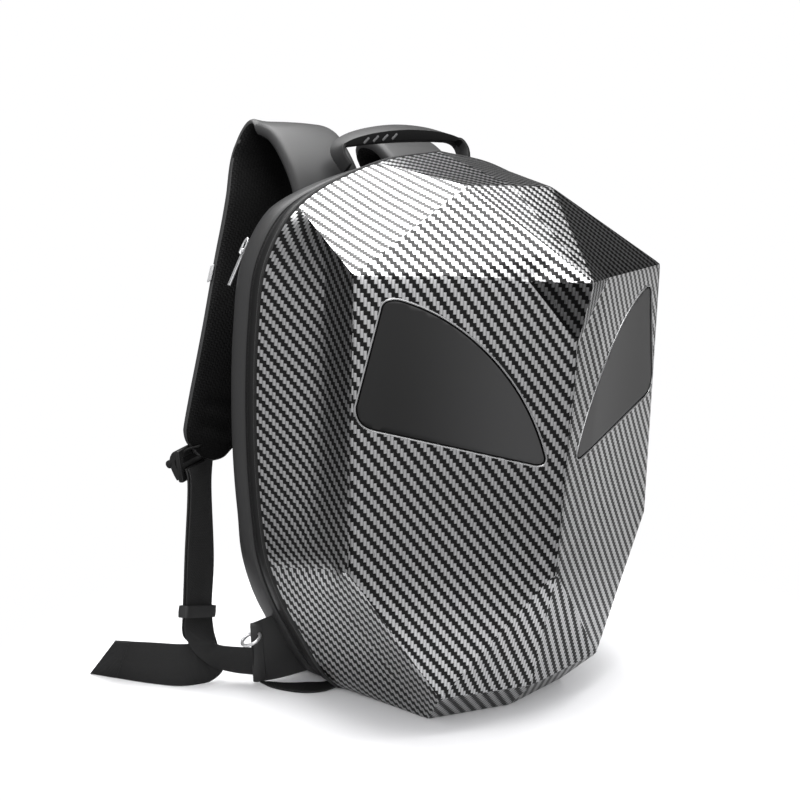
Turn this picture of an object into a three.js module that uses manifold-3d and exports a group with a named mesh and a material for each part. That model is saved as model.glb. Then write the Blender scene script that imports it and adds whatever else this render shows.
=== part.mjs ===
// Hard-front motorcycle backpack: a faceted carbon-weave shell on a zipped side wall,
// with a padded back, shoulder straps, webbing and a grab handle.
// Millimetres, +Z up, standing on z = 0. The shell's front faces -Y, the wearer's back is at +Y,
// and left is -X, both for the wearer and for someone looking at the shell.
import * as THREE from 'three';
import { mergeVertices } from 'three/addons/utils/BufferGeometryUtils.js';
import Module from 'manifold-3d';

const wasm = await Module();
wasm.setup();

// Driving dimensions
const GAP = 0.3; // clearance between pieces that meet
const RIM_Y = 42; // plane of the shell's rim; the base's middle is at y = 0
const SHELL_WALL = 3.5;
const SHELL_MIDDLE_Z = 220; // height of a point well inside the shell
const POCKET_DEPTH = 2.2; // the eye panels are let in this deep
const PANEL_SEAM = 0.9; // open line round each eye panel
const PANEL_SINK = 0.3; // the panel's face lies this far below the shell's
const REAR_DROP = 13; // the top of the wall falls this much from the rim to the back
const DROP_FROM_Z = 400; // only above this height
const WALL_DEPTH = 48; // rim to back panel
const LOW_SWELL = 29; // the wall is this much deeper at the bottom
const SWELL_FROM_Z = 165; // the swell starts here going down
const SWELL_FULL_Z = 40;
const WEBBING_THICK = 1.8;
const LEFT = -1;
const RIGHT = 1;

// Rim outline of the right half, from the top centre down to the bottom centre: name, x, z
const RIM = [
  ['top_centre', 0, 447],
  ['crown', 60.5, 436.6],
  ['shoulder', 132.7, 401.8],
  ['upper_side', 160.2, 360.6],
  ['side', 169, 309.2],
  ['waist', 172.6, 224],
  ['lower_side', 169.1, 155.3],
  ['hip', 163, 118.9],
  ['lower_corner', 137.7, 60],
  ['foot', 95.4, 0],
  ['bottom_centre', 0, 0],
];

// Segments between the spokes of the rim: first and last rim name, number of segments
const RIM_SPANS = [
  ['top_centre', 'crown', 3],
  ['crown', 'shoulder', 4],
  ['shoulder', 'hip', 10],
  ['hip', 'foot', 7],
  ['foot', 'bottom_centre', 4],
];

// Corners of the shell's facets on the right half: x, y, z
const CORNER = {
  crown_middle: [0, -51.3, 418],
  crown: [41.2, -51.3, 417.5],
  brow_end: [150.6, -66, 355.3],
  cheek: [151.3, -57.6, 140],
  chin: [81.7, -75.1, 31.3],
  chin_middle: [0, -87, 27],
  brow_bend: [42, -123.1, 350.6],
  beak: [0, -145.3, 348.8],
  under_beak: [0, -129.7, 304.9],
  ridge_foot: [0, -112.3, 127.3],
};

// The band between the rim and the facets' corners, spoke by spoke: corner at the front end,
// and the middle point of the spoke (null: on the straight line)
const SPOKES = [
  ['crown_middle', null],
  ['crown', null],
  ['brow_end', null],
  ['cheek', null],
  ['chin', [70, -44, 0]],
  ['chin_middle', [0, -60, 0]],
];
const SPOKE_MIDDLE = 0.55;

// Segments along the facets' edges
const BROW_STEPS = 5; // brow end to brow bend
const BEAK_STEPS = 2; // along each side of the beak
const RIDGE_STEPS = 7; // under the beak to the ridge's foot
const CHIN_STEPS = 3; // ridge's foot to the chin corner

// Left eye panel in front view, x and z: the corners of its outline and its bowed upper edge
const EYE = {
  outer_top: [-132, 339.5],
  outer_top_before: [-132.6, 331],
  outer_top_after: [-120.5, 337.6],
  bow_start: [-68.7, 321.2],
  bow_end: [-30.1, 266.7],
  inner_low_before: [-15.9, 220.5],
  inner_low: [-13.8, 212.3],
  inner_low_after: [-23.5, 214],
  outer_low_before: [-134.5, 245],
  outer_low: [-148.4, 248.8],
  outer_low_after: [-147.6, 263],
};
const EYE_CURVE_STEPS = 6;
const EYE_REAR_Y = -56; // the cut for a panel stops short of the side wall
const EYE_FRONT_Y = -150; // and starts in front of the beak
const CUT_THROUGH = 5; // a cutting form reaches this far past what it cuts

// Bands of the side wall. Sections: depth behind the rim, height proud of the rim's outline
const WALL_BANDS = {
  rim_binding: { wall: 3, foot: 0.4, sections: [[0.3, 0.4], [1.2, 1.6], [3, 1.6], [4, 0.4]] },
  front_strip: { wall: 2, foot: 0, sections: [[4.3, 0.4], [9, 1.6], [15, 0.4]] },
  main_zip: { wall: 2, foot: 0.4, sections: [[15.3, -1], [19, -1]] },
  gusset: { wall: 3, foot: 0, sections: [[19.3, 0.4], [23, 2.6], [31, 4], [39, 3], [45, -3.5]] },
  rear_zip: { wall: 2, foot: 0.4, sections: [[45.3, -5], [WALL_DEPTH, -5]] },
};
const BACK_SECTIONS = [[48.3, -5], [50, -5], [54, -7], [57, -10]];
const BACK_FOOT = 1; // the back panel hangs this far above the floor

// Grab handle, from its right foot to the middle: x, y, z of the bar's middle, depth, height.
// The foot starts inside the wall and is trimmed to it
const HANDLE = [
  [57, 80, 414, 16, 5],
  [60, 87, 434, 16, 5],
  [64, 96, 449, 16, 5],
  [61, 101.5, 456.5, 17, 6.5],
  [44, 104, 462, 20, 12],
  [0, 104, 465.5, 20, 16],
];
const HANDLE_SAG = 0.07; // the handle drops to the left by this share of x
// Its section as shares of depth and height: front edge low and high, crest, rear edge high and low, belly
const HANDLE_SECTION = [[-0.5, -0.4], [-0.5, 0.15], [0.42, 0.5], [0.5, 0.3], [0.5, -0.4], [0, -0.5]];

// Shoulder strap pad, left: x, y, z of the middle, width, thickness
const STRAP = [
  [-66, 105.8, 372, 62, 13],
  [-66, 109.5, 412, 68, 13],
  [-68, 128, 444, 68, 13],
  [-70, 152, 464, 68, 13],
  [-74, 179, 467, 68, 13],
  [-84, 186, 444, 68, 13],
  [-97, 176, 405, 67, 13],
  [-111, 168, 362, 66, 13],
  [-133, 153, 306, 62, 12],
  [-155, 146, 242, 56, 12],
  [-167, 143, 209, 50, 11],
  [-171, 142.5, 198, 37, 9],
  [-174, 142, 192, 18, 6],
];
const STRAP_STEPS = 22;
// The right strap's bow hangs lower than the left one's and leans in
const RIGHT_STRAP_DROP = 8;
const RIGHT_STRAP_LEAN = 32;

// Webbing below the adjuster, left: inner edge x, y, z, then outer edge x, y, z
const WEBBING = [
  [-164.1, 150, 168.1, -191.2, 131, 178.3],
  [-173.4, 128.7, 105, -203.6, 113.3, 115],
  [-178.4, 124.7, 61, -208.4, 109.3, 71],
  [-182, 112, 43, -210, 109, 54],
  [-183.5, 107, 39.5, -203, 110, 36],
  [-182, 102, 38.5, -185, 112, 17],
  [-176, 93.5, 38.5, -168, 108, 9],
  [-161.5, 81, 38.5, -154, 95, 8],
];
// Its free tail below the keeper, which turns outwards and stands on its edge on the floor
const TAIL = [
  [-175, 121.5, 30, -209, 115.5, 49],
  [-171, 119.5, 9, -204, 117, 41],
  [-186, 117.5, 0.6, -203, 119.5, 38.6],
  [-207.4, 122.5, 0.5, -209, 123, 38.5],
  [-229, 144, 0.5, -229, 141, 38.5],
  [-264, 193, 0.5, -252, 160, 38.5],
];
const WEBBING_WIDE = 38;
const LAYER_STEP = 2.7; // from the webbing's middle to the tail's behind it, above the keeper
const BAND_STEPS = 3; // sections from one row of a band to the next
const BAND_FOOT = 0.5; // lowest edge of a band
const KEEPER_ROW = 2; // row of the webbing at which the keeper sits
const KEEPER = { wide: 41, deep: 10.6, high: 10, wall: 1.3 };
// Adjuster behind the pad's lower end, left: plate, slots, the middle bar between them, its middle,
// its turn about the vertical and lean to the side, and how far below its middle the webbing starts
const LOCK = { wide: 46, long: 28, thick: 5, slot_wide: 39, slot_long: 5, bar: 4.4, hang: 3 };
const LOCK_SEAT = { place: [-179.5, 150, 189.5], turn: 32, lean: 7 };

// Corner tab, left: upper edge x, y, z, then lower edge x, y, z; the root is trimmed to the wall
const TAB = [
  [-160.5, 79.5, 61, -151.5, 94, 1],
  [-147, 82, 62, -132, 90, 1.5],
  [-126, 84, 63, -102, 88, 3],
];
const TAB_THICK = 2.4;
const TAB_RING = { radius: 8, wire: 1.4, sides: 6, steps: 16, hole: 1.8, turn: -25, place: [-163, 81, 46.5] };

// Webbing loop on the floor between the tab and the wall's foot, left: inner edge, then outer edge
const BASE_LOOP = [
  [-143, 86, 1.6, -150, 93, 1.2],
  [-131, 76, 1.4, -146, 76, 1.2],
  [-116, 68, 1.4, -129, 53, 1.2],
  [-107, 62, 1.6, -111, 45.5, 1.4],
  [-92, 54, 4.5, -92, 46, 4.5],
];

// Small reflective tag on the strap's outer edge: fraction along the strap, size
const TAG = { along: 0.625, long: 15, wide: 7, thick: 1.2, stand: 0.6 };

// Zip slider and puller on the rear zip, upper left
const SLIDER_Z = 368;
const SLIDER = { long: 13, wide: 8, thick: 3.6, lug: 1.8, pin: 0.9, knuckle: 2, rise: 2 };
const PULLER = { long: 31, wide: 4.6, thick: 1.6, tip: 6, eye_wall: 1.1 };
const PIN_SIDES = 10;

// Vectors, solids and booleans

function point(row) {
  return new THREE.Vector3(row[0], row[1], row[2]);
}

function mirrored(p) {
  return new THREE.Vector3(-p.x, p.y, p.z);
}

function spread(from, to, steps) {
  return Array.from({ length: steps + 1 }, (_, i) => from.clone().lerp(to, i / steps));
}

function smoothCurve(points) {
  return new THREE.CatmullRomCurve3(points, false, 'centripetal');
}

function signedVolume(positions, triangles) {
  let six = 0;
  for (let i = 0; i < triangles.length; i += 3) {
    const [a, b, c] = [0, 1, 2].map((k) => positions[triangles[i + k]]);
    six += a.dot(b.clone().cross(c));
  }
  return six / 6;
}

// A closed solid from points and triangle corners, its doubled points merged and faces turned out
function solidFrom(points, triangles) {
  const turned = signedVolume(points, triangles) > 0 ? triangles : triangles.slice().reverse();
  const loose = new THREE.BufferGeometry().setFromPoints(points);
  loose.setIndex(turned);
  const merged = mergeVertices(loose, 1e-3);
  const index = merged.index.array;
  const kept = [];
  for (let i = 0; i < index.length; i += 3) {
    const [a, b, c] = [index[i], index[i + 1], index[i + 2]];
    if (a !== b && b !== c && c !== a) {
      kept.push(a, b, c);
    }
  }
  return new wasm.Manifold(new wasm.Mesh({
    numProp: 3,
    vertProperties: new Float32Array(merged.attributes.position.array),
    triVerts: new Uint32Array(kept),
  }));
}

function placesOf(position) {
  const place = (_, i) => new THREE.Vector3().fromBufferAttribute(position, i);
  return Array.from({ length: position.count }, place);
}

function solidOf(geometry) {
  const bare = geometry.index ? geometry.toNonIndexed() : geometry;
  const position = bare.attributes.position;
  const points = placesOf(position);
  return solidFrom(points, points.map((_, i) => i));
}

function geometryOf(solid) {
  const mesh = solid.getMesh();
  const geometry = new THREE.BufferGeometry();
  geometry.setAttribute('position', new THREE.BufferAttribute(new Float32Array(mesh.vertProperties), 3));
  geometry.setIndex(new THREE.BufferAttribute(new Uint32Array(mesh.triVerts), 1));
  geometry.computeVertexNormals();
  return geometry;
}

// Two triangles for each cell between neighbouring rows of points
function gridTriangles(rows, columns, wrap, first = 0) {
  const triangles = [];
  const cells = wrap ? columns : columns - 1;
  for (let r = 0; r < rows - 1; r += 1) {
    for (let c = 0; c < cells; c += 1) {
      const a = first + r * columns + c;
      const b = first + r * columns + ((c + 1) % columns);
      triangles.push(a, b, b + columns, a, b + columns, a + columns);
    }
  }
  return triangles;
}

// A solid through closed loops of equal length, its two ends capped from their middles
function loft(loops) {
  const size = loops[0].length;
  const points = loops.flat();
  const triangles = gridTriangles(loops.length, size, true);
  const last = (loops.length - 1) * size;
  const ends = [[loops[0], 0, true], [loops[loops.length - 1], last, false]];
  for (const [loop, start, flip] of ends) {
    const middle = points.length;
    points.push(loop.reduce((sum, p) => sum.add(p), new THREE.Vector3()).divideScalar(size));
    for (let i = 0; i < size; i += 1) {
      const next = (i + 1) % size;
      triangles.push(middle, start + (flip ? next : i), start + (flip ? i : next));
    }
  }
  return solidFrom(points, triangles);
}

// A ring-shaped solid whose loops follow each other round its wall and back to the first
function ringThrough(loops) {
  const points = [...loops, loops[0]].flat();
  return solidFrom(points, gridTriangles(loops.length + 1, loops[0].length, true));
}

// The rim's outline

const rimNames = RIM.map((row) => row[0]);
const rimPoints = RIM.map((row) => new THREE.Vector3(row[1], 0, row[2]));
const rimCurve = smoothCurve(rimPoints);

function rimSpan(from, to, steps) {
  const first = rimNames.indexOf(from);
  const last = rimNames.indexOf(to);
  const ends = RIM.length - 1;
  const at = (t) => rimCurve.getPoint((first + (last - first) * t) / ends);
  if (from === 'foot') {
    return spread(rimPoints[first], rimPoints[last], steps);
  }
  return Array.from({ length: steps + 1 }, (_, i) => at(i / steps));
}

const rimHalf = RIM_SPANS.flatMap(([from, to, steps], i) => rimSpan(from, to, steps).slice(i ? 1 : 0));
const rimLoop = [...rimHalf, ...rimHalf.slice(1, -1).reverse().map(mirrored)];

// Moves a flat closed loop outwards in its own plane, x and z
function offsetLoop(loop, distance) {
  const count = loop.length;
  return loop.map((p, i) => {
    const along = loop[(i + 1) % count].clone().sub(loop[(i + count - 1) % count]).normalize();
    return new THREE.Vector3(p.x - along.z * distance, p.y, p.z + along.x * distance);
  });
}

// The wall's outline at a depth behind the rim, standing proud of the rim and on the foot's height
function wallLoop(depth, proud, foot) {
  return offsetLoop(rimLoop, proud).map((p) => {
    const share = Math.max(0, (p.z - DROP_FROM_Z) / (RIM[0][2] - DROP_FROM_Z));
    const rearness = Math.min(1, depth / WALL_DEPTH);
    const swell = LOW_SWELL * (1 - THREE.MathUtils.smoothstep(p.z, SWELL_FULL_Z, SWELL_FROM_Z));
    const drop = REAR_DROP * share * rearness;
    return new THREE.Vector3(p.x, RIM_Y + depth + swell * rearness, Math.max(foot, p.z - drop));
  });
}

function wallBand({ wall, foot, sections }) {
  const outer = sections.map(([depth, proud]) => wallLoop(depth, proud, foot));
  const inner = sections.map(([depth, proud]) => wallLoop(depth, proud - wall, foot + wall)).reverse();
  return ringThrough([...outer, ...inner]);
}

// A filled form through outlines of the wall, its ends closed straight across from side to side
function wallForm(sections, grow, foot) {
  const loops = sections.map(([depth, proud]) => wallLoop(depth, proud + grow, foot));
  const size = rimLoop.length;
  const triangles = gridTriangles(loops.length, size, true);
  for (const [start, flip] of [[0, true], [(loops.length - 1) * size, false]]) {
    for (let i = 0; i < size / 2; i += 1) {
      const [a, b, c, d] = [i, i + 1, size - i - 1, (size - i) % size].map((k) => start + k);
      triangles.push(...(flip ? [a, c, b, a, d, c] : [a, b, c, a, c, d]));
    }
  }
  return solidFrom(loops.flat(), triangles);
}

// The whole wall filled, used to trim what is seated on it
function wallPlug(grow) {
  const sections = [...Object.values(WALL_BANDS).flatMap((band) => band.sections), ...BACK_SECTIONS];
  return wallForm(sections, grow, -grow);
}

// The shell's outer surface, right half, as patches of rows of points

function ruled(first, last, rows) {
  return Array.from({ length: rows + 1 }, (_, r) => first.map((p, i) => p.clone().lerp(last[i], r / rows)));
}

// A patch between four edges: top and bottom run the same way, and so do left and right
function coons(top, bottom, left, right) {
  const [rows, columns] = [left.length - 1, top.length - 1];
  return left.map((_, r) => top.map((__, c) => {
    const [u, v] = [c / columns, r / rows];
    const across = left[r].clone().lerp(right[r], u);
    const down = top[c].clone().lerp(bottom[c], v);
    const upper = top[0].clone().lerp(top[columns], u);
    const lower = bottom[0].clone().lerp(bottom[columns], u);
    return across.add(down).sub(upper.lerp(lower, v));
  }));
}

function halfPatches() {
  const at = Object.fromEntries(Object.entries(CORNER).map(([name, row]) => [name, point(row)]));
  const patches = [];
  let start = 0;
  RIM_SPANS.forEach(([, , steps], i) => {
    const rim = rimHalf.slice(start, start + steps + 1).map((p) => new THREE.Vector3(p.x, RIM_Y, p.z));
    start += steps;
    const [front, middle] = [SPOKES[i], SPOKES[i + 1]].map(([corner, bend], side) => {
      const end = rim[side ? steps : 0];
      return [at[corner], bend ? point(bend) : end.clone().lerp(at[corner], SPOKE_MIDDLE)];
    });
    patches.push([rim, spread(front[1], middle[1], steps), spread(front[0], middle[0], steps)]);
  });
  const crownSteps = RIM_SPANS[1][2];
  const browRows = BROW_STEPS + BEAK_STEPS;
  const browOuter = spread(at.brow_end, at.brow_bend, BROW_STEPS);
  const browEdge = [...browOuter, ...spread(at.brow_bend, at.beak, BEAK_STEPS).slice(1)];
  const browInner = spread(at.crown, at.beak, browRows);
  patches.push(browInner.map((p, r) => spread(p, browEdge[r], crownSteps)));
  const topSteps = RIM_SPANS[0][2];
  const topEdge = spread(at.crown_middle, at.crown, topSteps);
  patches.push(ruled(topEdge, Array(topSteps + 1).fill(at.beak), browRows));
  const beakSide = spread(at.brow_bend, at.under_beak, BEAK_STEPS);
  const beakEdge = spread(at.brow_bend, at.beak, BEAK_STEPS);
  patches.push(ruled(beakEdge, Array(BEAK_STEPS + 1).fill(at.under_beak), BEAK_STEPS));
  const ridge = spread(at.under_beak, at.ridge_foot, RIDGE_STEPS);
  const chinSide = spread(at.ridge_foot, at.chin, CHIN_STEPS);
  patches.push(coons(
    [...browOuter, ...beakSide.slice(1)],
    spread(at.cheek, at.chin, RIM_SPANS[3][2]),
    spread(at.brow_end, at.cheek, RIM_SPANS[2][2]),
    [...ridge, ...chinSide.slice(1)],
  ));
  const chinSteps = RIM_SPANS[4][2];
  const chinRidge = spread(at.ridge_foot, at.chin_middle, CHIN_STEPS);
  patches.push(chinSide.map((p, r) => spread(p, chinRidge[r], chinSteps)));
  return patches;
}

// Merged points and outward triangles of the whole surface
function shellSurface() {
  const points = [];
  const triangles = [];
  for (const patch of halfPatches()) {
    for (const side of [RIGHT, LEFT]) {
      const rows = side === RIGHT ? patch : patch.map((row) => row.map(mirrored));
      triangles.push(...gridTriangles(rows.length, rows[0].length, false, points.length));
      points.push(...rows.flat());
    }
  }
  const loose = new THREE.BufferGeometry().setFromPoints(points);
  loose.setIndex(triangles);
  const merged = mergeVertices(loose, 1e-3);
  const places = placesOf(merged.attributes.position);
  const middle = new THREE.Vector3(0, RIM_Y, SHELL_MIDDLE_Z);
  const faces = [];
  const index = merged.index.array;
  for (let i = 0; i < index.length; i += 3) {
    const face = [index[i], index[i + 1], index[i + 2]];
    const [a, b, c] = face.map((k) => places[k]);
    const normal = b.clone().sub(a).cross(c.clone().sub(a));
    if (normal.length() > 1e-6) {
      const out = a.clone().add(b).add(c).divideScalar(3).sub(middle);
      faces.push(normal.dot(out) > 0 ? face : face.reverse());
    }
  }
  return { places, faces };
}

const surface = shellSurface();

// Unit direction into the wall at each point, lengthened at the edges so that the wall keeps its thickness
function wallDirections({ places, faces }) {
  const sums = places.map(() => []);
  for (const face of faces) {
    const [a, b, c] = face.map((k) => places[k]);
    const normal = b.clone().sub(a).cross(c.clone().sub(a)).normalize();
    face.forEach((k) => sums[k].push(normal));
  }
  return sums.map((normals, i) => {
    const mean = normals.reduce((sum, n) => sum.add(n), new THREE.Vector3()).normalize();
    if (places[i].y > RIM_Y - 1e-3) {
      mean.setY(0).normalize();
    }
    const lean = normals.reduce((sum, n) => sum + n.dot(mean), 0) / normals.length;
    return mean.multiplyScalar(-1 / lean);
  });
}

const inward = wallDirections(surface);

// The filled form of the shell, its surface moved in by a depth and its rear capped at a plane
function bowl(depth, rearY) {
  const points = surface.places.map((p, i) => p.clone().addScaledVector(inward[i], depth));
  const triangles = surface.faces.flat();
  const rim = rimLoop.map((p) => surface.places.findIndex(
    (q) => Math.abs(q.x - p.x) < 1e-2 && Math.abs(q.z - p.z) < 1e-2 && q.y > RIM_Y - 1e-3,
  ));
  const rear = points.length;
  rim.forEach((k) => points.push(points[k].clone().setY(rearY)));
  const middle = points.length;
  points.push(new THREE.Vector3(0, rearY, SHELL_MIDDLE_Z));
  rim.forEach((k, i) => {
    const next = (i + 1) % rim.length;
    triangles.push(k, rim[next], rear + next, k, rear + next, rear + i);
    triangles.push(middle, rear + i, rear + next);
  });
  return solidFrom(points, triangles);
}

// Eye panels

function eyeOutline() {
  const shape = new THREE.Shape();
  const pair = (name) => EYE[name];
  shape.moveTo(...pair('outer_top_before'));
  shape.quadraticCurveTo(...pair('outer_top'), ...pair('outer_top_after'));
  shape.bezierCurveTo(...pair('bow_start'), ...pair('bow_end'), ...pair('inner_low_before'));
  shape.quadraticCurveTo(...pair('inner_low'), ...pair('inner_low_after'));
  shape.lineTo(...pair('outer_low_before'));
  shape.quadraticCurveTo(...pair('outer_low'), ...pair('outer_low_after'));
  return shape.getPoints(EYE_CURVE_STEPS).map((p) => new THREE.Vector3(p.x, 0, p.y));
}

// A prism of the eye's outline along Y, on one side of the bag
function eyePrism(side, inset) {
  const outline = offsetLoop(eyeOutline(), -inset);
  const flat = side === LEFT ? outline : outline.map(mirrored);
  return loft([EYE_FRONT_Y, EYE_REAR_Y].map((y) => flat.map((p) => new THREE.Vector3(p.x, y, p.z))));
}

const outerForm = bowl(0, RIM_Y);
const pocketForm = bowl(POCKET_DEPTH, RIM_Y + GAP);

function shellSolid() {
  let solid = outerForm.subtract(bowl(SHELL_WALL, RIM_Y + CUT_THROUGH));
  for (const side of [LEFT, RIGHT]) {
    solid = solid.subtract(eyePrism(side, 0).subtract(pocketForm));
  }
  return solid;
}

function eyePanel(side) {
  const layer = bowl(PANEL_SINK, RIM_Y).subtract(bowl(POCKET_DEPTH - GAP, RIM_Y + CUT_THROUGH));
  return eyePrism(side, PANEL_SEAM).intersect(layer);
}

// Handle, straps and webbing

function handleSolid() {
  const right = HANDLE.slice(0, -1);
  const left = right.map(([x, ...rest]) => [-x, ...rest]).reverse();
  const rows = [...right, HANDLE[HANDLE.length - 1], ...left]
    .map(([x, y, z, ...size]) => [x, y, z + HANDLE_SAG * x, ...size]);
  const middles = rows.map(point);
  const loops = rows.map(([, , , deep, high], i) => {
    const ahead = middles[Math.min(i + 1, rows.length - 1)];
    const behind = middles[Math.max(i - 1, 0)];
    const along = ahead.clone().sub(behind).normalize();
    const rear = new THREE.Vector3(0, 1, 0).addScaledVector(along, -along.y).normalize();
    const up = along.clone().cross(rear).negate();
    return HANDLE_SECTION.map(([d, h]) => middles[i].clone()
      .addScaledVector(rear, d * deep)
      .addScaledVector(up, h * high));
  });
  return loft(loops).subtract(wallPlug(GAP));
}

// A function of the share along a strap that gives its middle, directions, width and thickness there
function strapLine(side) {
  const [drop, lean] = side === RIGHT ? [RIGHT_STRAP_DROP, RIGHT_STRAP_LEAN] : [0, 0];
  const top = Math.max(...STRAP.map((row) => row[2]));
  const base = STRAP[0][2];
  const rows = STRAP.map(([x, y, z, wide, thick]) => {
    const share = y > STRAP[1][1] ? Math.max(0, (z - base) / (top - base)) : 0;
    return [side * -x - lean * share, y, z - drop * share, wide, thick];
  });
  const line = smoothCurve(rows.map(point));
  const sizes = smoothCurve(rows.map(([, , , wide, thick]) => new THREE.Vector3(wide, thick, 0)));
  return (share) => {
    const along = line.getTangent(share);
    const across = new THREE.Vector3(1, 0, 0).addScaledVector(along, -along.x).normalize();
    const { x: wide, y: thick } = sizes.getPoint(share);
    return { middle: line.getPoint(share), along, across, out: across.clone().cross(along), wide, thick };
  };
}

// A pad's section: flat faces with rounded edges
function padLoop({ middle, across, out, wide, thick }) {
  const round = thick / 2;
  const loop = [];
  for (const side of [RIGHT, LEFT]) {
    for (const angle of [-90, -45, 0, 45, 90]) {
      const turn = THREE.MathUtils.degToRad(angle);
      const reach = wide / 2 - round + round * Math.cos(turn);
      const rise = round * Math.sin(turn);
      loop.push(middle.clone().addScaledVector(across, side * reach).addScaledVector(out, side * rise));
    }
  }
  return loop;
}

function strapPad(side) {
  const at = strapLine(side);
  const loops = Array.from({ length: STRAP_STEPS + 1 }, (_, i) => padLoop(at(i / STRAP_STEPS)));
  return loft(loops).subtract(ladderLock(side, GAP));
}

// Middle and directions of a band at one of its rows: along it, across it, and forward out of its face
function bandRow(rows, i) {
  const edges = (k) => [rows[k].slice(0, 3), rows[k].slice(3)].map(point);
  const middle = (k) => edges(k).reduce((sum, p) => sum.add(p)).divideScalar(2);
  const [inner, outer] = edges(i);
  const across = outer.sub(inner).normalize();
  const along = middle(Math.min(i + 1, rows.length - 1)).sub(middle(Math.max(i - 1, 0)));
  along.addScaledVector(across, -along.dot(across)).normalize();
  return { middle: middle(i), along, across, forward: across.clone().cross(along) };
}

// A row of a band moved backwards out of its face
function rowBehind(rows, i, distance) {
  const back = bandRow(rows, i).forward.multiplyScalar(-distance).toArray();
  return rows[i].map((value, k) => value + back[k % 3]);
}

// A flat band through rows of two edge points
function ribbon(rows, thick, side) {
  const curves = [0, 3].map((first) => smoothCurve(
    rows.map((row) => point([side * -row[first], row[first + 1], row[first + 2]])),
  ));
  const count = (rows.length - 1) * BAND_STEPS;
  const edges = Array.from({ length: count + 1 }, (_, i) => curves.map((curve) => {
    const p = curve.getPoint(i / count);
    return p.setZ(Math.max(p.z, BAND_FOOT));
  }));
  const middles = edges.map(([a, b]) => a.clone().add(b).divideScalar(2));
  return loft(edges.map(([a, b], i) => {
    const along = middles[Math.min(i + 1, count)].clone().sub(middles[Math.max(i - 1, 0)]);
    const out = b.clone().sub(a).cross(along).setLength(thick / 2).multiplyScalar(-side);
    return [a.clone().add(out), b.clone().add(out), b.clone().sub(out), a.clone().sub(out)];
  }));
}

// Places a geometry so that its x, y and z run along the given directions
function placed(geometry, x, y, z, origin) {
  geometry.applyMatrix4(new THREE.Matrix4().makeBasis(x, y, z).setPosition(origin));
  return solidOf(geometry);
}

// A plate with rectangular slots, in its own x and y, thick along z
function slottedPlate(wide, long, thick, slots) {
  const box = (w, l) => [[-w, -l], [w, -l], [w, l], [-w, l]].map(([x, y]) => new THREE.Vector2(x / 2, y / 2));
  const shape = new THREE.Shape(box(wide, long));
  for (const { w, l, y } of slots) {
    shape.holes.push(new THREE.Path(box(w, l).map((p) => p.add(new THREE.Vector2(0, y)))));
  }
  const geometry = new THREE.ExtrudeGeometry(shape, { depth: thick, bevelEnabled: false });
  geometry.translate(0, 0, -thick / 2);
  return geometry;
}

// The adjuster's middle, and its directions to the bag's outside, up, and to the bag's front
function lockFrame(side) {
  const [turn, lean] = [LOCK_SEAT.turn, LOCK_SEAT.lean].map(THREE.MathUtils.degToRad);
  const [x, y, z] = LOCK_SEAT.place;
  const up = new THREE.Vector3(side * Math.sin(lean), 0, Math.cos(lean));
  const outward = new THREE.Vector3(side * Math.cos(turn), -Math.sin(turn), 0);
  outward.addScaledVector(up, -outward.dot(up)).normalize();
  const forward = up.clone().cross(outward).multiplyScalar(-side);
  return { middle: new THREE.Vector3(side * -x, y, z), outward, up, forward };
}

function ladderLock(side, grow = 0) {
  const { middle, outward, up, forward } = lockFrame(side);
  const step = LOCK.slot_long + LOCK.bar;
  const slots = [step / 2, -step / 2].map((y) => ({ w: LOCK.slot_wide, l: LOCK.slot_long, y }));
  const [wide, long, thick] = [LOCK.wide, LOCK.long, LOCK.thick].map((size) => size + 2 * grow);
  return placed(slottedPlate(wide, long, thick, grow ? [] : slots), outward, up, forward, middle);
}

// Edges of a layer of webbing at the adjuster's face, inner and outer, as a row of the webbing's tables
function lockRow(side, layer) {
  const { middle, outward, up, forward } = lockFrame(side);
  const proud = LOCK.thick / 2 + GAP + WEBBING_THICK / 2 + layer * LAYER_STEP;
  const start = middle.clone().addScaledVector(up, -LOCK.hang).addScaledVector(forward, proud);
  return [-1, 1].flatMap((way) => {
    const edge = start.clone().addScaledVector(outward, way * WEBBING_WIDE / 2);
    return [-side * edge.x, edge.y, edge.z];
  });
}

function webbing(side) {
  return ribbon([lockRow(side, 1), ...WEBBING], WEBBING_THICK, side);
}

function webbingTail(side) {
  const above = WEBBING.slice(0, KEEPER_ROW + 1).map((_, i) => rowBehind(WEBBING, i, LAYER_STEP));
  return ribbon([lockRow(side, 0), ...above, ...TAIL], WEBBING_THICK, side);
}

// The keeper, a flat sleeve round both layers
function keeperSolid(side) {
  const { middle, along, across, forward } = bandRow(WEBBING, KEEPER_ROW);
  middle.addScaledVector(forward, -LAYER_STEP / 2);
  const [m, x, y, z] = [middle, across, forward, along].map((v) => (side === LEFT ? v : mirrored(v)));
  const hole = { w: KEEPER.wide - 2 * KEEPER.wall, l: KEEPER.deep - 2 * KEEPER.wall, y: 0 };
  return placed(slottedPlate(KEEPER.wide, KEEPER.deep, KEEPER.high, [hole]), x, y, z, m);
}

function tabRing(side, wire) {
  const geometry = new THREE.TorusGeometry(TAB_RING.radius, wire, TAB_RING.sides, TAB_RING.steps);
  geometry.rotateY(-side * THREE.MathUtils.degToRad(TAB_RING.turn));
  const [x, y, z] = TAB_RING.place;
  geometry.translate(side * -x, y, z);
  return solidOf(geometry);
}

function cornerTab(side) {
  return ribbon(TAB, TAB_THICK, side).subtract(wallPlug(GAP)).subtract(tabRing(side, TAB_RING.hole));
}

function baseLoop(side) {
  return ribbon(BASE_LOOP, WEBBING_THICK, side).subtract(wallPlug(GAP)).subtract(cornerTab(side));
}

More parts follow.
